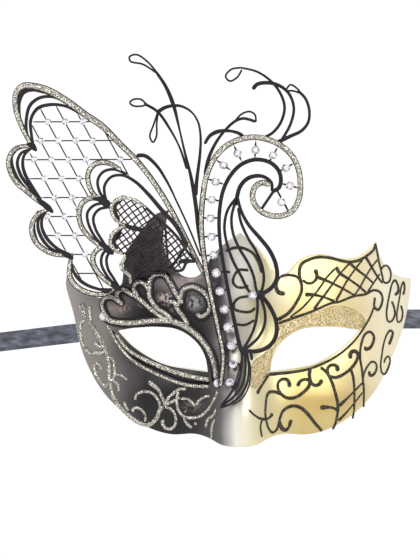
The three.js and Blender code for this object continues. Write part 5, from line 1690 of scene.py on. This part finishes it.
@dataclass(frozen=True)
class ButterflyWing:
    """Three sheets of cut metal, one in front of another, with a lattice and a net."""

    row_top: float = 119.0
    row_pitch: float = 9.9
    rows: int = 9
    slant_pitch: float = 9.05
    slant_run: float = 5.4
    slants: int = 7
    first_node: float = -127.0
    bar: float = 0.72
    tip_band: tuple[float, ...] = (2.4, 3.4, 3.9, 3.6, 3.1, 3.0, 2.8, 2.4)
    lobe_band: tuple[float, ...] = (1.7, 3.0, 3.1, 2.8, 2.2)
    border: float = 0.75
    spur_rise: float = 0.6
    glittered: tuple[int, ...] = (0, 3, 6)
    net_pitch: float = 2.8

    def node(self, slant: float, row: float) -> Drawn:
        """Returns the drawn place where a slanted bar crosses a row."""
        across = self.first_node + slant * self.slant_pitch + row * self.slant_run
        return (across, self.row_top - row * self.row_pitch)

    def bars(self) -> list[tuple[Drawn, Drawn]]:
        """Returns the two ends of each lattice bar before it is trimmed."""
        level = [((-122.0, self.row_top - row * self.row_pitch), (-44.0, self.row_top - row * self.row_pitch))
                 for row in range(self.rows)]
        slanted = [(self.node(slant, -1), self.node(slant, self.rows)) for slant in range(self.slants)]
        return level + slanted

    def lattice(self, skin: Skin) -> bpy.types.Object:
        """Makes the lattice, trimmed to the open field of the wing.

        Args:
            skin: The back of the sheet that it is cut from.

        Returns:
            The piece.
        """
        outline = outline_of(WING_FIELD, 1.0)
        pile = MeshPile()
        strip = CutStrip(thickness=0.6, step=2.0, easing=0.2)
        for i, (start, end) in enumerate(self.bars()):
            for piece in trimmed(outline, start, end, 0.4):
                strip.lay(pile, Stroke(piece, self.bar), skin, 0.1 + eased_lift(i))
        for start, end in BAR_ENDS:
            strip.lay(pile, Stroke([start, end], self.bar), skin, 0.1)
        return pile.build("wing_lattice", Finish.BARS.material())

    def outer(self) -> list[bpy.types.Object]:
        """Makes the back sheet: its edge band, arcs, joints and lattice.

        Returns:
            The metal, the glitter on its band, and the lattice.
        """
        skin = WingSheet(FORM, WING_STANDOFF)
        bands = [Stroke(at, self.tip_band if i == 0 else self.lobe_band) for i, at in enumerate(WING_BAND)]
        arcs = [Stroke(at, (1.3, 1.9, 1.4)) for at in WING_ARCS]
        pile = MeshPile()
        metal_lines(pile, bands + arcs + WING_SHADES, skin)
        for joint in WING_SPURS:
            CutStrip().lay(pile, joint, skin, self.spur_rise)
        metal = pile.build("wing_outer_metal", Finish.METAL.material())
        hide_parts("wing_main")
        shine = [grown(band, -self.border) for band in bands]
        glitter = glitter_lines("wing_outer_glitter", shine, skin, SHEET_THICKNESS, Finish.CHAMPAGNE, FLAT_BEAD)
        return [metal, glitter, self.lattice(skin)]

    def middle(self) -> list[bpy.types.Object]:
        """Makes the middle sheet with its three lobes.

        Returns:
            The metal and the glitter on its outer lines.
        """
        skin = WingSheet(FORM, WING_STANDOFF + LAYER)
        pile = MeshPile()
        lobes = [Stroke(MIDDLE_LINES[i].at, (2.2, 3.0, 2.9, 2.2)) for i in self.glittered]
        plain = [stroke for i, stroke in enumerate(MIDDLE_LINES) if i not in self.glittered]
        metal_lines(pile, lobes + plain, skin)
        for joint in MIDDLE_SPURS:
            CutStrip().lay(pile, joint, skin, self.spur_rise)
        metal = pile.build("wing_middle_metal", Finish.METAL.material())
        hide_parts("wing_middle")
        shine = [grown(lobe, -self.border) for lobe in lobes]
        glitter = glitter_lines("wing_middle_glitter", shine, skin, SHEET_THICKNESS, Finish.CHAMPAGNE, FLAT_BEAD)
        return [metal, glitter]

    def net(self) -> list[bpy.types.Object]:
        """Makes the front sheet: a net that closes up towards its lower corner, with a glitter edge.

        Returns:
            The net and the glitter round it.
        """
        skin = WingSheet(FORM, WING_STANDOFF + 2 * LAYER)
        outline, dense = outline_of(NET_EDGE, 1.0), outline_of(NET_DENSE, 1.0)
        pile = MeshPile()
        strip = CutStrip(thickness=0.35, step=1.2, easing=0.1)
        for direction, turn in enumerate((math.radians(38), math.radians(127))):
            along = np.array([math.cos(turn), math.sin(turn)])
            side = np.array([-along[1], along[0]])
            for k in range(-44, 45):
                middle = np.array([-45.0, 58.0]) + side * (k * self.net_pitch / 2)
                extra = k % 2 == 1
                field = dense if extra else outline
                for piece in trimmed(field, tuple(middle - along * 60), tuple(middle + along * 60), 0.3):
                    pulled = [self.pulled(place) for place in smooth_line(piece, 4.0)]
                    widths = tuple(0.36 if extra else self.net_thread(x, z) for x, z in pulled)
                    strip.lay(pile, Stroke(pulled, widths), skin, 0.1 + 0.2 * direction)
        metal_lines(pile, NET_LINES + [Stroke(stretch, LINE) for stretch in NET_EDGE], skin)
        net = pile.build("wing_net_mesh", Finish.NET.material())
        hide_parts("wing_net")
        glitter = glitter_lines("wing_net_glitter", NET_GLITTER, skin, SHEET_THICKNESS, Finish.CHAMPAGNE, FLAT_BEAD)
        return [net, glitter]

    @staticmethod
    def pulled(place: np.ndarray) -> Drawn:
        """Returns a place of the net as the stretched threads leave it, a little off the straight."""
        x, z = float(place[0]), float(place[1])
        wave = noise.noise_vector(Vector((x * 0.09, z * 0.09, 7.0)))
        return (x + 0.9 * wave.x, z + 0.9 * wave.y)

    @staticmethod
    def net_thread(x: float, z: float) -> float:
        """Returns how wide the net's thread is at a drawn place."""
        return 0.76 + 0.1 * (1 - blend(44, 66, z))

    def build(self) -> list[bpy.types.Object]:
        """Makes the wing.

        Returns:
            Its pieces.
        """
        return [*self.outer(), *self.middle(), *self.net()]


def trimmed(outline: np.ndarray, start: Drawn, end: Drawn, step: float) -> list[list[Drawn]]:
    """Keeps the parts of a straight line that lie inside an outline.

    Args:
        outline: The closed outline.
        start: Where the line starts.
        end: Where the line ends.
        step: How finely the line is tested.

    Returns:
        The two ends of each part.
    """
    first, last = np.array(start, dtype=float), np.array(end, dtype=float)
    count = int(np.linalg.norm(last - first) / step) + 2
    places = first + (last - first) * np.linspace(0, 1, count)[:, None]
    within = inside(outline, places)
    parts, run = [], []
    for place, good in zip(places, within):
        if good:
            run.append(tuple(place))
        elif run:
            parts.append(run)
            run = []
    if run:
        parts.append(run)
    return [[part[0], part[-1]] for part in parts if len(part) > 3]


@dataclass(frozen=True)
class SwanNeck:
    """The scrolled neck: a glittered band, an inner line, a crescent and a ladder of bars."""

    stones: int = 19
    gap: float = 9.6
    pad: float = 3.6

    def ladder(self, pile: MeshPile, skin: Skin) -> None:
        """Adds the bar and the pad under each stone.

        Args:
            pile: Where they go.
            skin: The back of the neck's sheet.
        """
        fine = smooth_line(SPINE, 0.25)
        places = fine[np.linspace(0, len(fine) - 1, self.stones).round().astype(int)]
        for i, place in enumerate(places):
            at = int(round(i * (len(fine) - 1) / (self.stones - 1)))
            along = fine[min(len(fine) - 1, at + 2)] - fine[max(0, at - 2)]
            side = np.array([-along[1], along[0]]) / np.linalg.norm(along) * self.gap / 2
            if i:
                CutStrip(step=2.0).lay(pile, Stroke([tuple(place + side), tuple(place - side)], FINE), skin, 0.01)
            disc(pile, tuple(place), self.pad, skin, SHEET_THICKNESS, 0.02)

    def build(self) -> list[bpy.types.Object]:
        """Makes the neck.

        Returns:
            The metal and the glitter on its band.
        """
        skin = NeckSheet(FORM)
        strokes = [
            Stroke(NECK_BAND, BAND), Stroke(NECK_LINE, (BOLD, 1.8, 2.1, 2.2)), Stroke(NECK_CRESCENT, (LINE, BOLD, BOLD)),
            Stroke([(18, 82.6), (11.5, 73)], LINE), Stroke([(19.5, 83.5), (26, 71.5)], FINE),
        ]
        pile = MeshPile()
        metal_lines(pile, strokes, skin)
        self.ladder(pile, skin)
        metal = pile.build("swan_neck_metal", Finish.METAL.material())
        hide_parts("swan_neck")
        shine = [Stroke(NECK_BAND, (1.5, 1.6, 1.9, 2.2, 2.4, 2.4, 2.4, 2.2))]
        glitter = glitter_lines("swan_neck_glitter", shine, skin, SHEET_THICKNESS, Finish.CHAMPAGNE, FLAT_BEAD)
        return [metal, glitter]


@dataclass(frozen=True)
class LeafSpray:
    """Leaves of black metal in front of the neck, with a long thin tail down the nose."""

    joints: tuple[tuple[Drawn, float], ...] = (((11, 28.6), 5.0), ((7, 28.4), 3.6), ((2.5, -0.6), 4.4))

    def build(self) -> list[bpy.types.Object]:
        """Makes the leaves.

        Returns:
            The piece.
        """
        skin = NeckSheet(FORM, forward=LAYER)
        pile = MeshPile()
        metal_lines(pile, LEAF_LINES + TAIL_SHADES, skin)
        for at, size in self.joints:
            disc(pile, at, size, skin, SHEET_THICKNESS, 0.04)
        made = pile.build("leaf_spray_metal", Finish.METAL.material())
        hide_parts("leaf_spray")
        return [made]


@dataclass(frozen=True)
class Tendrils:
    """Three groups of curled tendrils behind the neck."""

    def build(self) -> list[bpy.types.Object]:
        """Makes the tendrils.

        Returns:
            One piece for each group.
        """
        skin = NeckSheet(FORM, forward=-LAYER)
        made = []
        for name, strokes in TENDRILS.items():
            pile = MeshPile()
            metal_lines(pile, strokes, skin)
            piece = pile.build(f"{name}_metal", Finish.METAL.material())
            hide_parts(name)
            made.append(piece)
        return made


@dataclass(frozen=True)
class CutStones:
    """Foil-backed stones with a table, eight kites and sixteen girdle facets."""

    seat: float = 0.05

    def cut(self, pile: MeshPile, node: str, out: Vector, size: float, height: float, turn: float) -> None:
        """Adds one stone where the frame has it.

        Args:
            pile: Where the stone goes.
            node: The frame's stone.
            out: The way that the table faces.
            size: The diameter.
            height: From the flat back to the table.
            turn: How far the stone is turned in its seat.
        """
        low, high = (Vector(corner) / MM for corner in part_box(node))
        middle = (low + high) / 2 - out * (height / 2)
        across = (Vector((1, 0, 0)) - out * out.x).normalized()
        upward = across.cross(out)

        def ring(count: int, share: float, rise: float, shift: float) -> list[Vector]:
            """Returns a ring of corners, some way out from the middle and up from the back."""
            turns = [turn + 2 * math.pi * (i + shift) / count for i in range(count)]
            return [
                middle + (across * math.cos(t) + upward * math.sin(t)) * (share * size / 2) + out * (rise * height)
                for t in turns
            ]

        base, girdle = ring(16, 0.93, 0.0, 0), ring(16, 1.0, 0.26, 0)
        waist, table = ring(8, 0.74, 0.74, 0.5), ring(8, 0.46, 1.0, 0)
        faces: list[Sequence[int]] = [list(range(16))[::-1]]
        faces += [(i, (i + 1) % 16, 16 + (i + 1) % 16, 16 + i) for i in range(16)]
        for i in range(8):
            before, after = 32 + (i - 1) % 8, 40 + (i + 1) % 8
            here = 16 + 2 * i
            faces.append((here, here + 1, 32 + i))
            faces.append((here + 1, 16 + (2 * i + 2) % 16, 32 + i))
            faces.append((here, 32 + i, 40 + i, before))
            faces.append((32 + i, after, 40 + i))
        faces.append(list(range(40, 48)))
        pile.add(base + girdle + waist + table, faces)

    def build(self) -> list[bpy.types.Object]:
        """Makes every stone.

        Returns:
            One piece for each group of stones.
        """
        chance = random.Random(5)
        neck = NeckSheet(FORM)
        wing = WingSheet(FORM, WING_STANDOFF)
        groups = {
            "spine_stones": [f"spine_stone_{i:02d}" for i in range(1, 20)],
            "leaf_stone_set": ["leaf_stone"],
            "lid_stones": ["lid_stone_outer", "lid_stone_inner"],
            "wing_stones": [f"wing_stone_{i:02d}" for i in range(1, 23)],
        }
        made = []
        for name, nodes in groups.items():
            skin: Skin = {"lid_stones": FORM, "wing_stones": wing}.get(name, neck)
            size, height = (3.7, 1.4) if name == "wing_stones" else (4.6, 2.0)
            pile = MeshPile()
            for node in nodes:
                low, high = (Vector(corner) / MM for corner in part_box(node))
                out = normal_on(skin, (low.x + high.x) / 2, (low.z + high.z) / 2)
                self.cut(pile, node, out, size, height, chance.uniform(0, math.pi))
            piece = pile.build(name, Finish.CRYSTAL.material(), smooth=0)
            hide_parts(*nodes)
            made.append(piece)
        return made


@dataclass(frozen=True)
class RibbonTie:
    """One satin ribbon, from its felt patch inside the temple out to its knot."""

    side: str
    route: tuple[Drawn, ...]
    height: float
    fall: float
    width: float = 10.0
    thickness: float = 0.45
    selvedge: float = 0.2
    knot_length: float = 12.6

    def centreline(self, step: float) -> list[Vector]:
        """Returns the middle of the ribbon from the patch to the knot."""
        return [
            Vector((x, y, self.height + self.fall * (x - self.route[0][0])))
            for x, y in smooth_line(self.route, step)
        ]

    def ribbon(self) -> bpy.types.Object:
        """Makes the ribbon, creased and with a raised selvedge on both edges.

        Returns:
            The piece.
        """
        line = self.centreline(0.6)
        pile, loops = MeshPile(), []
        stations = np.linspace(-1, 1, 17)
        for i, point in enumerate(line):
            along = (line[min(len(line) - 1, i + 1)] - line[max(0, i - 1)]).normalized()
            out = Vector((along.y, -along.x, 0)).normalized()
            front, back = [], []
            for share in stations:
                spot = point + Vector((0, 0, share * self.width / 2))
                crease = 0.16 * noise.noise(Vector((spot.x * 0.5, spot.y * 0.5, spot.z * 0.16)))
                crease += 0.07 * noise.noise(Vector((spot.x * 1.7, spot.y * 1.7, spot.z * 0.3)))
                half = self.thickness / 2 + self.selvedge / 2 * blend(0.86, 0.95, abs(share))
                front.append(spot + out * (crease + half))
                back.append(spot + out * (crease - half))
            loops.append(front + back[::-1])
        pile.sweep(loops)
        return pile.build(f"ribbon_{self.side}_satin", Finish.SATIN.material(), smooth=60)

    @staticmethod
    def gather(centre: Vector, across: Vector, out: Vector, half: float, pleat: float) -> list[Vector]:
        """Returns a loop round the ribbon where it is gathered into pleats.

        Args:
            centre: The middle of the ribbon there.
            across: The direction across the ribbon.
            out: The direction out of its face.
            half: Half its width.
            pleat: How deep the pleats are.
        """
        stations = [i / 6 - 1 for i in range(13)]
        deep = [pleat * math.cos(3 * math.pi * share) for share in stations]
        front = [centre + across * (share * half) + out * (rise + 0.42) for share, rise in zip(stations, deep)]
        back = [centre + across * (share * half) + out * (rise - 0.42) for share, rise in zip(stations, deep)]
        return front + back[::-1]

    def knot(self) -> bpy.types.Object:
        """Makes the overhand knot at the ribbon's end, with the gathers into it and a short tail.

        Returns:
            The piece.
        """
        low, high = (Vector(corner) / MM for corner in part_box(f"ribbon_knot_{self.side}"))
        middle = (low + high) / 2
        line = self.centreline(1.0)
        along = (line[-1] - line[-2]).normalized()
        upward = Vector((0, 0, 1))
        out = along.cross(upward).normalized()
        pile, loops = MeshPile(), []
        turns = 110
        path = []
        for i in range(turns):
            t = 2 * math.pi * i / turns
            a = (math.sin(t) + 2 * math.sin(2 * t)) / 3
            b = (math.cos(t) - 2 * math.cos(2 * t)) / 3
            c = -math.sin(3 * t)
            path.append(middle + along * (a * self.knot_length * 0.36) + upward * (b * 3.4) + out * (c * 1.9))
        for i in range(turns):
            ahead = (path[(i + 1) % turns] - path[i - 1]).normalized()
            side = ahead.cross(out).normalized()
            lift = side.cross(ahead).normalized()
            loop = []
            for k in range(14):
                turn = 2 * math.pi * k / 14
                pinch = 1 + 0.08 * noise.noise(path[i] * 0.9 + Vector((k * 0.7, 0, 0)))
                loop.append(path[i] + side * (1.75 * pinch * math.cos(turn)) + lift * (1.0 * math.sin(turn)))
            loops.append(loop)
        size = len(loops[0])
        faces = []
        for i in range(turns):
            for k in range(size):
                low_row, high_row = i * size, ((i + 1) % turns) * size
                faces.append((low_row + k, low_row + (k + 1) % size, high_row + (k + 1) % size, high_row + k))
        pile.add([point for loop in loops for point in loop], faces)
        start = line[-1] - along * 1.2
        lead, tail = [], []
        for share in np.linspace(0, 1, 12):
            gathered = blend(0.0, 0.8, float(share))
            lead.append(self.gather(start.lerp(middle, float(share)), upward, out, 5.15 - 3.3 * gathered, 0.8 * gathered))
        for share in np.linspace(0, 1, 9):
            centre = middle + along * (2.5 + 4.2 * share) - upward * (1.0 + 2.2 * share)
            tail.append(self.gather(centre, upward + along * (0.4 * share), out, 1.7 + 0.5 * share, 0.3))
        pile.sweep(lead)
        pile.sweep(tail)
        made = pile.build(f"ribbon_{self.side}_knot", Finish.SATIN.material(), smooth=60)
        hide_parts(f"ribbon_knot_{self.side}")
        return made

    def patch(self) -> bpy.types.Object:
        """Makes the round-cornered felt patch that holds the ribbon's inner end.

        Returns:
            The piece.
        """
        low, high = (Vector(corner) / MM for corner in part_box(f"ribbon_patch_{self.side}"))
        middle = (low + high) / 2
        start, following = (Vector(self.route[i]) for i in (0, 1))
        run = (following - start).normalized()
        along, out, upward = Vector((run.x, run.y, 0)), Vector((run.y, -run.x, 0)), Vector((0, 0, 1))
        loops = []
        for share, rise in ((0.0, -0.6), (0.95, -0.6), (1.0, -0.35), (1.0, 0.35), (0.95, 0.6), (0.0, 0.6)):
            loop = []
            for i in range(72):
                turn = 2 * math.pi * i / 72
                c, s = math.cos(turn), math.sin(turn)
                reach = 7.0 / (abs(c) ** 5 + abs(s) ** 5) ** 0.2
                nap = 0.06 * noise.noise(Vector((c * 5, s * 5, rise * 3)))
                flat = (along * c + upward * s) * (max(share, 0.02) * reach + nap)
                loop.append(middle + flat + out * rise)
            loops.append(loop)
        pile = MeshPile()
        pile.sweep(loops)
        made = pile.build(f"ribbon_{self.side}_patch", Finish.FELT.material(), smooth=50)
        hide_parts(f"ribbon_patch_{self.side}")
        return made

    def build(self) -> list[bpy.types.Object]:
        """Returns:
            The pieces.
        """
        ribbon, knot, patch = self.ribbon(), self.knot(), self.patch()
        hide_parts(f"ribbon_{self.side}")
        return [ribbon, knot, patch]


@dataclass(frozen=True)
class Studio:
    """The camera, the lights and the floor."""

    aim: tuple[float, float, float] = (-0.0151, 0.0, 0.0364)
    distance: float = 10.0
    view_height: float = 0.2912
    sensor: float = 36.0
    floor_level: float = -0.16
    floor_radius: float = 0.6

    def camera(self) -> bpy.types.Object:
        """Makes the camera, level with the brow and straight in front.

        Returns:
            The camera.
        """
        data = bpy.data.cameras.new("camera")
        data.sensor_fit = "VERTICAL"
        data.sensor_height = self.sensor
        data.lens = self.sensor * self.distance / self.view_height
        data.clip_end = 40.0
        made = bpy.data.objects.new("camera", data)
        made.location = Vector(self.aim) - Vector((0, self.distance, 0))
        made.rotation_euler = (math.pi / 2, 0, 0)
        bpy.context.scene.collection.objects.link(made)
        bpy.context.scene.camera = made
        return made

    def lamp(self, name: str, place: Sequence[float], size: float, power: float) -> None:
        """Adds a soft square light that faces the mask.

        Args:
            name: The light's name.
            place: Where it stands.
            size: Its side.
            power: Its power in watts.
        """
        data = bpy.data.lights.new(name, "AREA")
        data.shape = "SQUARE"
        data.size = size
        data.energy = power
        made = bpy.data.objects.new(name, data)
        made.location = place
        made.rotation_euler = (Vector(self.aim) - Vector(place)).to_track_quat("-Z", "Y").to_euler()
        bpy.context.scene.collection.objects.link(made)

    def surroundings(self) -> None:
        """Fills the studio with even white light, brighter where the camera sees it."""
        world = bpy.data.worlds.new("studio")
        world.use_nodes = True
        tree = world.node_tree
        tree.nodes.clear()
        seen, cast = (tree.nodes.new("ShaderNodeBackground") for _ in range(2))
        seen.inputs["Strength"].default_value = 1.05
        seen.inputs["Color"].default_value = (1.0, 1.0, 1.0, 1.0)
        cast.inputs["Strength"].default_value = 0.62
        cast.inputs["Color"].default_value = (1.0, 0.99, 0.98, 1.0)
        rays = tree.nodes.new("ShaderNodeLightPath")
        mix = tree.nodes.new("ShaderNodeMixShader")
        output = tree.nodes.new("ShaderNodeOutputWorld")
        tree.links.new(rays.outputs["Is Camera Ray"], mix.inputs[0])
        tree.links.new(cast.outputs[0], mix.inputs[1])
        tree.links.new(seen.outputs[0], mix.inputs[2])
        tree.links.new(mix.outputs[0], output.inputs["Surface"])
        bpy.context.scene.world = world

    def floor(self) -> None:
        """Makes the round pale floor, well below the mask."""
        pile = MeshPile()
        loops = []
        radius = self.floor_radius / MM
        for share, level in ((1.0, -2.0), (1.0, -0.4), (0.998, 0.0)):
            loops.append([
                Vector((math.cos(turn) * radius * share, math.sin(turn) * radius * share,
                        self.floor_level / MM + level))
                for turn in (2 * math.pi * i / 96 for i in range(96))
            ])
        pile.sweep(loops)
        mesh = bpy.data.meshes.new("studio_floor")
        mesh.from_pydata([point * MM for point in pile.points], [], pile.faces)
        mesh.materials.append(Finish.STUDIO.material())
        made = bpy.data.objects.new("studio_floor", mesh)
        bpy.context.scene.collection.objects.link(made)

    def build(self) -> None:
        """Sets the studio up."""
        self.camera()
        self.surroundings()
        self.lamp("key_light", (-1.1, -1.5, 1.3), 1.1, 22)
        self.lamp("fill_light", (1.4, -1.3, 0.5), 1.2, 15)
        self.lamp("rim_light", (0.3, 1.2, 1.4), 1.0, 12)
        self.floor()
        bpy.context.scene.view_settings.view_transform = "Standard"


RIBBONS = (
    RibbonTie(
        "left",
        ((-70, 33.6), (-78, 41.1), (-88, 51.8), (-98, 59.7), (-112, 65.7), (-130, 71.7)),
        height=10.5, fall=0.12,
    ),
    RibbonTie(
        "right",
        ((70, 34.1), (78, 41.6), (88, 52.3), (97, 58.7), (108, 63.5), (122, 67.2)),
        height=16.0, fall=0.0,
    ),
)


def main() -> None:
    """Builds the studio and every sub-assembly, and reports each piece."""
    logging.basicConfig(level=logging.INFO, format="%(name)s: %(message)s")
    Studio().build()
    made: list[bpy.types.Object] = []
    for ribbon in RIBBONS:
        made += ribbon.build()
    made.append(MaskShell().build())
    for part in (ShellDrawing(), LidFrame(), ButterflyWing(), SwanNeck(), LeafSpray(), Tendrils(), CutStones()):
        made += part.build()
    for piece in made:
        log.info("%s: %d faces", piece.name, len(piece.data.polygons))


if __name__ == "__main__":
    main()
